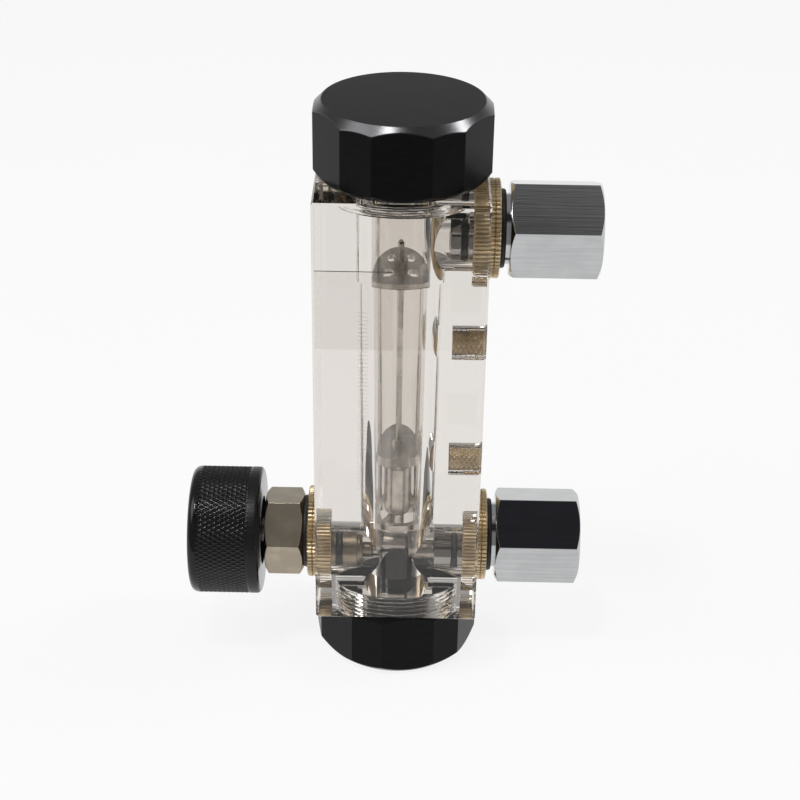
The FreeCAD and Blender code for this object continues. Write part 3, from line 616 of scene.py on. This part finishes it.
def shaped(blank: Piece, tool: Shape, cut: Cut) -> Piece:
    """Carve a tool shape out of a blank, or keep only what both hold.

    Args:
        blank: The piece to work on.
        tool: The tool's shape, used up here.
        cut: What is done with it.

    Returns:
        The blank.
    """
    cutter = tool.object()
    worked(blank, "BOOLEAN", object=cutter, operation=cut.value, solver="EXACT")
    bpy.data.objects.remove(cutter)
    return blank


def eased(blank: Piece, width: float, segments: int) -> Piece:
    """Round a piece's sharp edges a little, in millimetres."""
    limit = {"limit_method": "ANGLE", "angle_limit": math.radians(12.0)}
    return worked(blank, "BEVEL", width=width * MM, segments=segments, **limit)


def joined(name: str, pieces: Sequence[Piece]) -> Piece:
    """Put several objects' meshes into one piece."""
    mesh = bmesh.new()
    for piece in pieces:
        mesh.from_mesh(piece.data)
        bpy.data.objects.remove(piece)
    return hardened(name, mesh)


def dressed(
    piece: Piece, finish: Finish, body: str, stands_for: Sequence[str] = (), crease: float = 28.0
) -> Piece:
    """Give a piece its finish, soft shading and body, and hide the plain nodes that it replaces.

    Args:
        piece: The piece.
        finish: What it is made of.
        body: The body it moves with.
        stands_for: The plain nodes that it replaces.
        crease: Edges sharper than this many degrees stay crisp.

    Returns:
        The piece.
    """
    piece.data.materials.clear()
    piece.data.materials.append(finish.material())
    piece.data.shade_smooth()
    piece.data.set_sharp_from_angle(angle=math.radians(crease))
    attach(piece, body)
    if stands_for:
        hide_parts(*stands_for)
    LOG.info("%s: %d faces in %s", piece.name, len(piece.data.polygons), finish.name)
    return piece


def span(node: str) -> tuple[Vector, Vector]:
    """Return the lowest and highest corner of a plain node, in millimetres."""
    low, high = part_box(node)
    return low / MM, high / MM


def on_axis(node: str) -> Vector:
    """Return the point of the tube's axis that is level with a plain node's middle."""
    low, high = span(node)
    return Vector((0.0, 0.0, ((low + high) / 2.0).z))


def reach_of(node: str) -> tuple[float, float]:
    """Return how near to the tube's axis a side piece comes and how far out it goes."""
    low, high = span(node)
    return tuple(sorted((abs(low.x), abs(high.x))))


def diamond(turn: float, rise: float, crests: float) -> float:
    """Return how deep a diamond knurl is at a point, from 0 on a crest to 1 in a groove.

    Args:
        turn: Grooves passed round the axis.
        rise: Grooves passed along it.
        crests: How much steeper than a plain zigzag the flanks are.

    Returns:
        The share of the knurl's full depth.
    """
    first = abs(((turn + rise) % 1.0) * 2.0 - 1.0)
    second = abs(((turn - rise) % 1.0) * 2.0 - 1.0)
    return 1.0 - min(1.0, crests * min(first, second))


def hexagon(flats: float, turn: float, seat: Vector, way: Way) -> list[Vector]:
    """Return the corners of a hexagon square to an axis.

    Args:
        flats: Size across the flats.
        turn: Angle of the first corner, in degrees from the axis's own side direction.
        seat: The hexagon's centre.
        way: The axis.

    Returns:
        The corners in order.
    """
    _, side, other = directions(way)
    reach = flats / 2.0 / math.cos(math.pi / HEX)
    angles = [math.radians(turn) + math.tau * here / HEX for here in range(HEX)]
    return [seat + (side * math.cos(a) + other * math.sin(a)) * reach for a in angles]


def spaced(start: float, end: float, steps: int, radius: float) -> Points:
    """Return evenly spaced (along, radius) points on a cylinder."""
    return [(start + (end - start) * here / steps, radius) for here in range(steps + 1)]


@dataclass
class Thread:
    """A screw thread on a turned surface."""

    pitch: float
    crest: float
    root: float
    start: float
    end: float
    rows_per_turn: int = 16
    fade: float = 0.5
    flat: float = 0.18

    def rows(self) -> Points:
        """Return closely spaced (along, radius) points over the thread's length."""
        count = max(2, round((self.end - self.start) / self.pitch * self.rows_per_turn))
        return spaced(self.start, self.end, count, self.crest)

    def wave(self, angle: float, along: float, radius: float) -> float:
        """Return the radius of the winding flanks at an angle and a place along."""
        if not self.start < along < self.end:
            return radius
        turn = along / self.pitch - angle / math.tau
        slope = (abs((turn % 1.0) * 2.0 - 1.0) - self.flat) / (1.0 - 2.0 * self.flat)
        flank = max(0.0, min(1.0, slope))
        ends = min(along - self.start, self.end - along) / (self.pitch * self.fade)
        return self.crest + (self.root - self.crest) * flank * min(1.0, ends)


@dataclass
class AcrylicBar:
    """The clear bar with its tapered tube, chambers, side bores and threaded end bores."""

    edge: float = 0.6
    end_bore: float = 39.0
    end_ridge: float = 37.4
    end_pitch: float = 1.5
    end_depth: float = 5.6
    low_chamber: float = 22.0
    upper_chamber: float = 27.0
    tube_low: float = 23.6
    tube_top: float = 25.0
    port_bore: float = 19.2
    pocket_bore: float = 27.9
    mount_bite: float = 0.05
    air: float = 0.04
    guide_seat: float = 2.0

    def build(self) -> Piece:
        """Cut the bores out of the bar and polish it."""
        low, high = span("body_block")
        blank = Shape("clear_bar").box(low, high).object()
        eased(blank, self.edge, 1)
        shaped(blank, self.waterway(low.z, high.z), Cut.CARVE)
        for node, through in (("inlet_fitting", True), ("outlet_fitting", False)):
            shaped(blank, self.side_bore(on_axis(node), high.x, through), Cut.CARVE)
        for node in ("lower_mount_insert", "upper_mount_insert"):
            shaped(blank, self.mount_socket(node), Cut.CARVE)
        return dressed(blank, ACRYLIC, "meter", ["body_block"], crease=20.0)

    def waterway(self, foot: float, top: float) -> Shape:
        """Return the tool for everything that is bored along the bar."""
        guide_ledge = span("lower_guide")[1].z - self.guide_seat + self.air
        stop_ledge = span("stop_plate")[0].z - self.air
        half = self.end_bore / 2.0
        ridge = self.end_ridge / 2.0
        low_end = foot + self.end_depth
        top_end = top - self.end_depth
        below = Thread(self.end_pitch, half, ridge, foot - OVERRUN, low_end)
        above = Thread(self.end_pitch, half, ridge, top_end, top + OVERRUN)
        profile = [(below.start, 0.0), *below.rows()]
        profile += [(low_end, self.low_chamber / 2.0), (guide_ledge, self.low_chamber / 2.0)]
        profile += [(guide_ledge, self.tube_low / 2.0), (stop_ledge, self.tube_top / 2.0)]
        profile += [(stop_ledge, self.upper_chamber / 2.0), (top_end, self.upper_chamber / 2.0)]
        profile += [*above.rows(), (above.end, 0.0)]

        def wave(angle: float, along: float, radius: float) -> float:
            """Return the radius on whichever thread is nearer."""
            thread = below if along < (foot + top) / 2.0 else above
            return thread.wave(angle, along, radius)

        tool = Shape("waterway_tool")
        return tool.turn(profile, Vector(), Way.UP, steps=160, wave=wave)

    def side_bore(self, seat: Vector, face: float, through: bool) -> Shape:
        """Return the tool for a port bore and its insert pockets.

        Args:
            seat: Where the port's axis meets the tube's.
            face: Where the right face of the bar stands.
            through: True if the bore runs right through, False if it stops on the tube's axis.

        Returns:
            The tool.
        """
        inner = span("outlet_insert")[0].x - self.air
        bore = self.port_bore / 2.0
        pocket = self.pocket_bore / 2.0
        right = [(inner, bore), (inner, pocket)]
        right += [(face + OVERRUN, pocket), (face + OVERRUN, 0.0)]
        left = [(0.0, 0.0), (0.0, bore)]
        if through:
            left = [(-along, radius) for along, radius in reversed(right)]
        return Shape("port_tool").turn(left + right, seat, Way.RIGHT, steps=160)

    def mount_socket(self, node: str) -> Shape:
        """Return the tool for the blind hole round a mounting insert."""
        low, high = span(node)
        rim = (high.y - low.y) / 2.0 - self.mount_bite
        end = high.x + OVERRUN
        foot = low.x - self.air
        profile = [(foot, 0.0), (foot, rim), (end, rim), (end, 0.0)]
        return Shape("socket_tool").turn(profile, on_axis(node), Way.RIGHT, 96)


@dataclass
class ScrewCap:
    """A black hexagon cap with trimmed corners and a threaded plug."""

    node: str
    way: Way
    turn: float = 0.0
    flats: float = 49.3
    corner_flats: float = 51.0
    bevel: float = 1.35
    seat_bevel: float = 0.8
    edge: float = 0.18
    plug_length: float = 4.4
    plug_crest: float = 37.2
    plug_root: float = 35.8
    plug_neck: float = 0.4
    plug_tip: float = 0.5
    thread_gap: float = 0.2
    pitch: float = 1.5
    seat_gap: float = 0.04
    tool_rise: float = 4.0

    def build(self) -> Piece:
        """Turn the bevels on a trimmed hexagon and add its plug."""
        bar_low, bar_high = span("body_block")
        low, high = span(self.node)
        upright = self.way is Way.UP
        face = bar_high.z + self.seat_gap if upright else bar_low.z - self.seat_gap
        height = high.z - face if upright else face - low.z
        seat = Vector((0.0, 0.0, face))
        reach = Vector(self.way.value) * height
        corners = hexagon(self.flats, self.turn, seat, self.way)
        grip = Shape(self.node + "_grip").prism(corners, reach).object()
        trim = hexagon(self.corner_flats, self.turn + 30.0, seat - reach, self.way)
        shaped(grip, Shape("trim_tool").prism(trim, reach * 3.0), Cut.KEEP)
        shaped(grip, self.bevel_tool(height, seat), Cut.KEEP)
        eased(grip, self.edge, 2)
        cap = joined(self.node + "_dressed", [grip, self.plug(seat).object()])
        return dressed(cap, CAP_BLACK, "meter", [self.node], crease=8.0)

    def bevel_tool(self, height: float, seat: Vector) -> Shape:
        """Return the turned form that leaves the cap's bevels."""
        below, above = self.flats / 2.0 - self.seat_bevel, self.flats / 2.0 - self.bevel
        rise, end = self.tool_rise, height + OVERRUN
        turned = [(-OVERRUN, 0.0), (-OVERRUN, below - OVERRUN), (rise, below + rise)]
        turned += [(height - rise, above + rise), (end, above - OVERRUN), (end, 0.0)]
        return Shape("bevel_tool").turn(turned, seat, self.way, 180)

    def plug(self, seat: Vector) -> Shape:
        """Return the plug with its thread."""
        crest, root = self.plug_crest / 2.0, self.plug_root / 2.0
        neck, tip = crest - self.plug_neck, -self.plug_length
        thread = Thread(self.pitch, crest, root, tip + self.plug_neck, -self.thread_gap)
        profile = [(OVERRUN, 0.0), (OVERRUN, neck), (0.0, neck), *reversed(thread.rows())]
        profile += [(tip, crest - self.plug_tip), (tip, 0.0)]
        return Shape(self.node + "_plug").turn(profile, seat, self.way, 160, wave=thread.wave)


@dataclass
class TurnedPiece:
    """A piece turned about the axis of a side port."""

    node: str
    way: Way
    body: str = "meter"

    def turned(
        self, profile: Points, finish: Finish, crease: float, steps: int, wave: Wave | None
    ) -> Piece:
        """Turn a closed profile and dress the result."""
        shape = Shape(self.node + "_dressed")
        shape.turn(profile, on_axis(self.node), self.way, steps, ring=True, wave=wave)
        return dressed(shape.object(), finish, self.body, [self.node], crease=crease)


@dataclass
class Insert(TurnedPiece):
    """A knurled brass insert, set into the bar."""

    barrel: float = 28.0
    flange: float = 29.2
    bore: float = 21.0
    teeth: int = 68
    tooth: float = 0.45
    crests: float = 1.6
    edge: float = 0.35
    line_half: float = 0.25
    step: float = 0.02

    def build(self) -> Piece:
        """Turn the insert and press its knurl."""
        near, far = reach_of(self.node)
        bar = span("body_block")[1].x
        body, flange, hole = self.barrel / 2.0, self.flange / 2.0, self.bore / 2.0
        edge, inset, line = self.edge, flange - self.edge, self.line_half
        halfway = (bar + far) / 2.0
        profile = [(near, hole), (near, body - edge), (near + edge, body)]
        profile += [(bar - self.step, body), (bar + self.step, inset), (bar + edge, flange)]
        profile += [(halfway - line, flange), (halfway, inset), (halfway + line, flange)]
        profile += [(far - edge, flange), (far, inset), (far, hole)]

        def knurl(angle: float, along: float, radius: float) -> float:
            """Return the radius in the straight grooves."""
            if radius < body - edge * 1.5:
                return radius
            turn = (angle * self.teeth / math.tau) % 1.0
            return radius - self.tooth * (1.0 - min(1.0, self.crests * abs(turn * 2.0 - 1.0)))

        return self.turned(profile, BRASS, 24.0, self.teeth * 6, knurl)


@dataclass
class Washer(TurnedPiece):
    """A soft washer squeezed between an insert and a fitting."""

    bore: float = 21.0
    rim: float = 23.2
    swell: float = 0.35
    rows: int = 6

    def build(self) -> Piece:
        """Turn the washer with a swollen rim."""
        near, far = reach_of(self.node)
        rim = self.rim / 2.0
        profile = [(near, self.bore / 2.0)]
        for here in range(self.rows + 1):
            share = here / self.rows
            bulge = self.swell * (math.sin(math.pi * share) - 1.0)
            profile.append((near + (far - near) * share, rim + bulge))
        profile.append((far, self.bore / 2.0))
        return self.turned(profile, SEAL, 28.0, 128, None)


@dataclass
class MountInsert(TurnedPiece):
    """A brass threaded insert with a diamond knurl, set into the port side of the bar."""

    crest: float = 4.2
    root: float = 4.9
    pitch: float = 0.8
    knurl_pitch: float = 1.5
    knurl_depth: float = 0.24
    crests: float = 1.3
    edge: float = 0.3
    rows_per_mm: float = 6.0

    def build(self) -> Piece:
        """Turn the insert, roll its knurl and tap it."""
        low, high = span(self.node)
        radius, mouth = (high.y - low.y) / 2.0, self.root / 2.0
        start, stop = low.x + self.edge, high.x - self.edge
        count = round((stop - start) * self.rows_per_mm)
        thread = Thread(self.pitch, self.crest / 2.0, mouth, low.x, high.x - self.edge)
        profile = [(low.x, radius - self.edge)]
        profile += spaced(start, stop, count, radius)
        profile += [(high.x, radius - self.edge), (high.x, mouth), *reversed(thread.rows())]
        around = round(math.tau * radius / self.knurl_pitch)

        def form(angle: float, along: float, plain: float) -> float:
            """Return the radius on the thread or in the knurl."""
            if plain < radius - self.edge * 1.5:
                return plain if plain >= mouth else thread.wave(angle, along, plain)
            turn = angle * around / math.tau
            rise = (along - start) / self.knurl_pitch
            return plain - self.knurl_depth * diamond(turn, rise, self.crests)

        return self.turned(profile, BRASS, 30.0, around * 8, form)


@dataclass
class SideFitting:
    """A hexagon beside the bar, with a stem and a grooved nose that enter it."""

    node: str
    port: str
    ring: str
    way: Way
    finish: Finish
    flats: float
    corner: float
    bevel: float
    neck: float
    nose: float
    stem: float = 20.8
    start_inset: float = 0.2
    edge: float = 0.3

    def build(self) -> Piece:
        """Make and bore the hexagon, turn the stem and join the two."""
        tip, end = reach_of(self.node)
        start = reach_of(self.port + "_washer")[1] + self.neck
        shoulder = reach_of(self.port + "_insert")[0]
        seat = on_axis(self.node)
        head = self.hexagon(start, end, seat)
        bore, wave = self.bore(start, end)
        shaped(head, Shape("bore_tool").turn(bore, seat, self.way, 96, wave=wave), Cut.CARVE)
        foot, rim = start + OVERLAP, self.stem / 2.0
        profile = self.tip_profile(tip, foot) + self.groove()
        profile += [(shoulder, self.nose / 2.0), (shoulder, rim), (foot, rim)]
        stem = Shape("stem").turn(profile, seat, self.way, ring=True).object()
        both = joined(self.node + "_dressed", [head, stem])
        return dressed(both, self.finish, "meter", [self.node], crease=8.0)

    def hexagon(self, start: float, end: float, seat: Vector) -> Piece:
        """Return the hexagon with turned bevels at both ends and eased edges."""
        axis = Vector(self.way.value)
        corners = hexagon(self.flats, self.corner, seat + axis * start, self.way)
        blank = Shape("hexagon").prism(corners, axis * (end - start)).object()
        out = self.flats / 2.0 / math.cos(math.pi / HEX)
        near = self.flats / 2.0 - self.start_inset
        back = (out + OVERRUN - near) * self.bevel / (out - self.flats / 2.0)
        turned = [(start - OVERRUN, 0.0), (start - OVERRUN, near), (start, near)]
        turned += [(start + back, out + OVERRUN), (end - back, out + OVERRUN), (end, near)]
        turned += [(end + OVERRUN, near), (end + OVERRUN, 0.0)]
        shaped(blank, Shape("bevel_tool").turn(turned, seat, self.way, 144), Cut.KEEP)
        return eased(blank, self.edge, 3)

    def groove(self) -> Points:
        """Return the outline of the seal ring's groove, from the tip outwards."""
        low, high = span(self.ring)
        centre = (low.x + high.x) / 2.0 * self.way.value[0]
        floor = high.y - (high.x - low.x)
        near, far = centre - GROOVE_HALF, centre + GROOVE_HALF
        rim = self.nose / 2.0
        return [(near, rim), (near, floor), (far, floor), (far, rim)]

    def bore(self, start: float, end: float) -> Bore:
        """Return the outline of the hexagon's bore and its thread, if it has one."""
        raise NotImplementedError(self.node)

    def tip_profile(self, tip: float, foot: float) -> Points:
        """Return the outline of the waterway and the nose's tip."""
        raise NotImplementedError(self.node)


@dataclass
class Coupling(SideFitting):
    """A chrome hexagon coupling with a female pipe thread."""

    way: Way = Way.RIGHT
    finish: Finish = CHROME
    flats: float = 27.0
    corner: float = 102.3
    bevel: float = 1.1
    neck: float = 1.2
    nose: float = 18.4
    tip_bevel: float = 0.3
    flow_bore: float = 10.0
    seat_grip: float = 0.0
    seat_bore: float = 11.2
    thread_crest: float = 18.6
    thread_root: float = 20.6
    thread_pitch: float = 1.81
    thread_depth: float = 16.0
    mouth: float = 1.2

    def bore(self, start: float, end: float) -> Bore:
        """Return the outline of the threaded mouth."""
        crest, root, out = self.thread_crest / 2.0, self.thread_root / 2.0, end + OVERRUN
        thread = Thread(self.thread_pitch, crest, root, end - self.thread_depth, end - self.mouth)
        profile = [(thread.start, 0.0), *thread.rows(), (end, crest + self.mouth)]
        return profile + [(out, crest + self.mouth + OVERRUN), (out, 0.0)], thread.wave

    def tip_profile(self, tip: float, foot: float) -> Points:
        """Return the outline of the waterway, the seat's recess if any, and the tip."""
        flow, grip, ledge = self.flow_bore / 2.0, self.seat_bore / 2.0, tip + self.seat_grip
        profile = [(foot, flow), (ledge, flow)]
        if self.seat_grip:
            profile += [(ledge, grip), (tip, grip)]
        rim, bevel = self.nose / 2.0, self.tip_bevel
        return profile + [(tip, rim - bevel), (tip + bevel, rim)]


@dataclass
class Bonnet(SideFitting):
    """The nickel bonnet that guides the spindle."""

    node: str = "valve_bonnet"
    port: str = "valve"
    ring: str = "bonnet_o_ring"
    way: Way = Way.LEFT
    finish: Finish = NICKEL
    flats: float = 24.4
    corner: float = 71.0
    bevel: float = 1.0
    neck: float = 0.0
    nose: float = 18.0
    tip: float = 7.8
    tip_bevel: float = 0.4
    needle_bore: float = 6.56
    spindle_bore: float = 8.16
    # The nose's steps: beyond the inlet's face, and in from its own radius.
    steps: tuple[tuple[float, float], ...] = (
        (-0.6, 1.6), (0.2, 1.2), (0.9, 1.2), (0.9, 0.2), (1.1, 0.0)
    )

    def bore(self, start: float, end: float) -> Bore:
        """Return the outline of the plain bore for the spindle."""
        hole, foot, out = self.spindle_bore / 2.0, start - OVERRUN * 2.0, end + OVERRUN
        return [(foot, 0.0), (foot, hole), (out, hole), (out, 0.0)], None

    def tip_profile(self, tip: float, foot: float) -> Points:
        """Return the outline of the needle's bore, the slim tip and the stepped nose."""
        face = span("inlet_fitting")[0].x
        slim, hole = self.tip / 2.0, self.needle_bore / 2.0
        profile = [(foot, hole), (tip, hole), (tip, slim - self.tip_bevel)]
        profile += [(tip + self.tip_bevel, slim), (face + self.steps[0][0], slim)]
        return profile + [(face + beyond, self.nose / 2.0 - inset) for beyond, inset in self.steps]


@dataclass
class Knob(TurnedPiece):
    """The black valve knob with a diamond knurl between plain rims."""

    body: str = "knob"
    inner_round: tuple[float, float] = (1.4, 1.4)
    outer_round: tuple[float, float] = (2.3, 2.0)
    inner_band: float = 3.3
    outer_band: float = 2.5
    knurl_pitch: float = 1.5
    knurl_lead: float = 2.9
    knurl_depth: float = 0.26
    knurl_fade: float = 0.7
    crests: float = 1.2
    recess: float = 22.0
    recess_depth: float = 3.0
    bore: float = 6.2
    screw_bore: float = 3.2
    head_bore: float = 6.2
    head_depth: float = 2.4
    head_bevel: float = 0.5
    rows_per_mm: float = 5.0
    rim_rows: int = 10

    def build(self) -> Piece:
        """Turn the knob and roll its knurl."""
        low, high = span(self.node)
        face, end = -high.x, -low.x
        radius = (high.y - low.y) / 2.0
        start = face + self.inner_band
        stop = end - self.outer_band
        count = round((stop - start) * self.rows_per_mm)
        floor, base = end - self.head_depth, end - self.head_depth * 2.0
        hollow = face + self.recess_depth
        head, shank, bore = self.head_bore / 2.0, self.screw_bore / 2.0, self.bore / 2.0
        profile = [(face, self.recess / 2.0)]
        profile += self.rounded(face, radius, self.inner_round, 1.0)
        profile += spaced(start, stop, count, radius)
        profile += reversed(self.rounded(end, radius, self.outer_round, -1.0))
        profile += [(end, head + self.head_bevel), (end - self.head_bevel, head), (floor, head)]
        profile += [(floor, shank), (base, shank), (base, bore), (hollow, bore)]
        profile += [(hollow, self.recess / 2.0)]
        around = round(math.tau * radius / self.knurl_pitch)

        def knurl(angle: float, along: float, plain: float) -> float:
            """Return the radius in the knurl, which fades out at both ends."""
            if not start < along < stop or plain < radius - 0.1:
                return plain
            turn = angle * around / math.tau
            rise = (along - start) / self.knurl_lead
            fade = min(1.0, (along - start) / self.knurl_fade, (stop - along) / self.knurl_fade)
            return plain - self.knurl_depth * diamond(turn, rise, self.crests) * fade

        return self.turned(profile, KNOB_BLACK, 35.0, around * 8, knurl)

    def rounded(
        self, face: float, radius: float, rim: tuple[float, float], inward: float
    ) -> Points:
        """Return the rounded rim between an end face and the knob's side.

        Args:
            face: Where the end face stands.
            radius: The side's radius.
            rim: The rounding's reach along the axis and towards it.
            inward: The sign of the way from the face into the knob.

        Returns:
            (along, radius) points from the face to the side.
        """
        points = []
        for here in range(self.rim_rows + 1):
            angle = math.pi / 2.0 * here / self.rim_rows
            along = face + inward * rim[0] * (1.0 - math.cos(angle))
            points.append((along, radius - rim[1] * (1.0 - math.sin(angle))))
        return points


@dataclass
class Graduations:
    """Fine printed marks on the scale plate."""

    left: float = -12.0
    length: float = 3.0
    pitch: float = 1.25
    width: float = 0.18
    thickness: float = 0.02
    margin: float = 12.0

    def build(self) -> Piece:
        """Print a column of marks on the plate's front."""
        low, high = span("scale_plate")
        shape = Shape("scale_marks")
        count = int((high.z - low.z - 2.0 * self.margin) / self.pitch)
        for here in range(count + 1):
            height = low.z + self.margin + here * self.pitch
            shape.box(
                Vector((self.left, low.y, height)),
                Vector((self.left + self.length, low.y + self.thickness, height + self.width)),
            )
        return dressed(shape.object(), SCALE_INK, "meter")


PLAIN_FINISHES = {
    SCALE_FILM: ("scale_plate",),
    SEAL: (
        "top_cap_seal", "bottom_cap_seal", "outlet_o_ring", "inlet_o_ring", "bonnet_o_ring",
        "stem_o_ring",
    ),
    STEEL_UPRIGHT: (
        "stop_plate", "stop_hub", "rod_nut", "guide_rod", "lower_guide", "metering_float",
    ),
    STEEL_LEVEL: ("valve_seat", "valve_needle", "knob_screw"),
}


def dress_plain(nodes: dict[str, Piece]) -> None:
    """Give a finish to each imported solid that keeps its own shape."""
    for finish, names in PLAIN_FINISHES.items():
        for name in names:
            materials = nodes[name].data.materials
            materials.clear()
            materials.append(finish.material())
            LOG.info("%s: plain solid in %s", name, finish.name)


@dataclass
class Studio:
    """Pale floor, soft light and the camera."""

    eye: Colour = (0.23, -451.9, 340.0)
    pitch: float = 29.25
    roll: float = 0.015
    swing: float = 0.008
    lens: float = 75.49
    floor_half: float = 6000.0
    floor_front: float = -250.0
    floor_white: float = 0.86

    def build(self) -> None:
        """Set the stage."""
        self.camera()
        self.floor()
        self.world()
        self.lamps()

    def camera(self) -> None:
        """Place the camera."""
        data = bpy.data.cameras.new("camera")
        data.lens = self.lens
        data.sensor_width = 36.0
        data.clip_start = 0.01
        data.clip_end = 50.0
        camera = placed("camera", data)
        tilt = Matrix.Rotation(math.radians(90.0 - self.pitch), 4, "X")
        place = Matrix.Translation(Vector(self.eye) * MM) @ tilt
        place = Matrix.Rotation(self.swing, 4, "Z") @ place
        camera.matrix_world = place @ Matrix.Rotation(self.roll, 4, "Z")
        bpy.context.scene.camera = camera

    def floor(self) -> None:
        """Lay a pale floor that keeps the shadow and looks white."""
        half = self.floor_half
        near = Vector((-half, self.floor_front, -20.0))
        shape = Shape("floor").box(near, Vector((half, half, -0.02)))
        floor = shape.object()
        material = bpy.data.materials.new("pale_floor")
        material.use_nodes = True
        paint = Paint(material.node_tree)
        path = paint.node("ShaderNodeLightPath").outputs
        seen = Wire(paint, path["Is Camera Ray"]).most(Wire(paint, path["Is Glossy Ray"]))
        seen = seen.most(Wire(paint, path["Is Transmission Ray"]))
        mottle = paint.noise((0.01, 0.01, 0.01), detail=3.0)
        tone = paint.blend(mottle, (0.84, 0.84, 0.84), (0.88, 0.88, 0.88))
        matt = paint.node("ShaderNodeBsdfDiffuse", None, {"Color": tone})
        white = paint.node("ShaderNodeEmission", None, {"Color": WHITE, "Strength": 1.0})
        paint.either(seen * self.floor_white, matt, white)
        floor.data.materials.append(material)

    def world(self) -> None:
        """Light the room: white behind, greyer in front, and dark above the viewer."""
        world = bpy.data.worlds.new("studio")
        world.use_nodes = True
        bpy.context.scene.world = world
        paint = Paint(world.node_tree)
        _, y, z = paint.axes(paint.node("ShaderNodeTexCoord").outputs["Generated"])
        behind = y.between(-0.45, 0.15)
        lean = (y * -0.53 + z * 0.848).between(0.937, 0.99)
        wall = paint.blend(z.between(0.02, 0.36), WHITE, (0.36, 0.36, 0.36))
        tone = paint.blend(behind, (0.28, 0.275, 0.27), wall)
        tone = paint.blend(lean, tone, (0.03, 0.03, 0.035))
        shade = paint.node("ShaderNodeBackground", None, {"Color": tone, "Strength": 1.0})
        paint.node("ShaderNodeOutputWorld", None, {"Surface": shade.outputs[0]})

    def lamps(self) -> None:
        """Hang a wide soft lamp and two small bright ones."""
        for name, place, power, size in (
            ("soft_left", (-0.9, -0.3, 1.1), 6.0, 0.8),
            ("bright_above", (-0.26, -0.36, 1.3), 4.2, 0.17),
            ("bright_right", (0.81, 0.17, 0.96), 3.2, 0.2),
        ):
            data = bpy.data.lights.new(name, "AREA")
            data.energy = power
            data.size = size
            lamp = placed(name, data)
            lamp.location = place
            aim = Vector((0.0, 0.0, 0.09)) - Vector(place)
            lamp.rotation_euler = aim.to_track_quat("-Z", "Y").to_euler()


def settle_render() -> None:
    """Set how the scene is seen and how far light goes through the clear bar."""
    scene = bpy.context.scene
    scene.view_settings.view_transform = "Standard"
    cycles = scene.cycles
    cycles.max_bounces = 24
    cycles.transmission_bounces = 24
    cycles.glossy_bounces = 12
    cycles.diffuse_bounces = 4
    cycles.transparent_max_bounces = 16
    cycles.caustics_refractive = True
    cycles.caustics_reflective = True
    cycles.use_denoising = True


def main() -> None:
    """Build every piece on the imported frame, then set the stage."""
    logging.basicConfig(level=logging.INFO, format="%(name)s %(message)s")
    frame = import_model()
    AcrylicBar().build()
    ScrewCap("top_cap", Way.UP).build()
    ScrewCap("bottom_cap", Way.DOWN, turn=-9.3).build()
    for port, way in (("outlet", Way.RIGHT), ("inlet", Way.RIGHT), ("valve", Way.LEFT)):
        Insert(port + "_insert", way).build()
        Washer(port + "_washer", way).build()
    Coupling("outlet_fitting", "outlet", "outlet_o_ring").build()
    Coupling("inlet_fitting", "inlet", "inlet_o_ring", seat_grip=3.0).build()
    for node in ("lower_mount_insert", "upper_mount_insert"):
        MountInsert(node, Way.RIGHT).build()
    Bonnet().build()
    Knob("valve_knob", Way.LEFT).build()
    Graduations().build()
    dress_plain(frame["nodes"])
    Studio().build()
    settle_render()


if __name__ == "__main__":
    main()
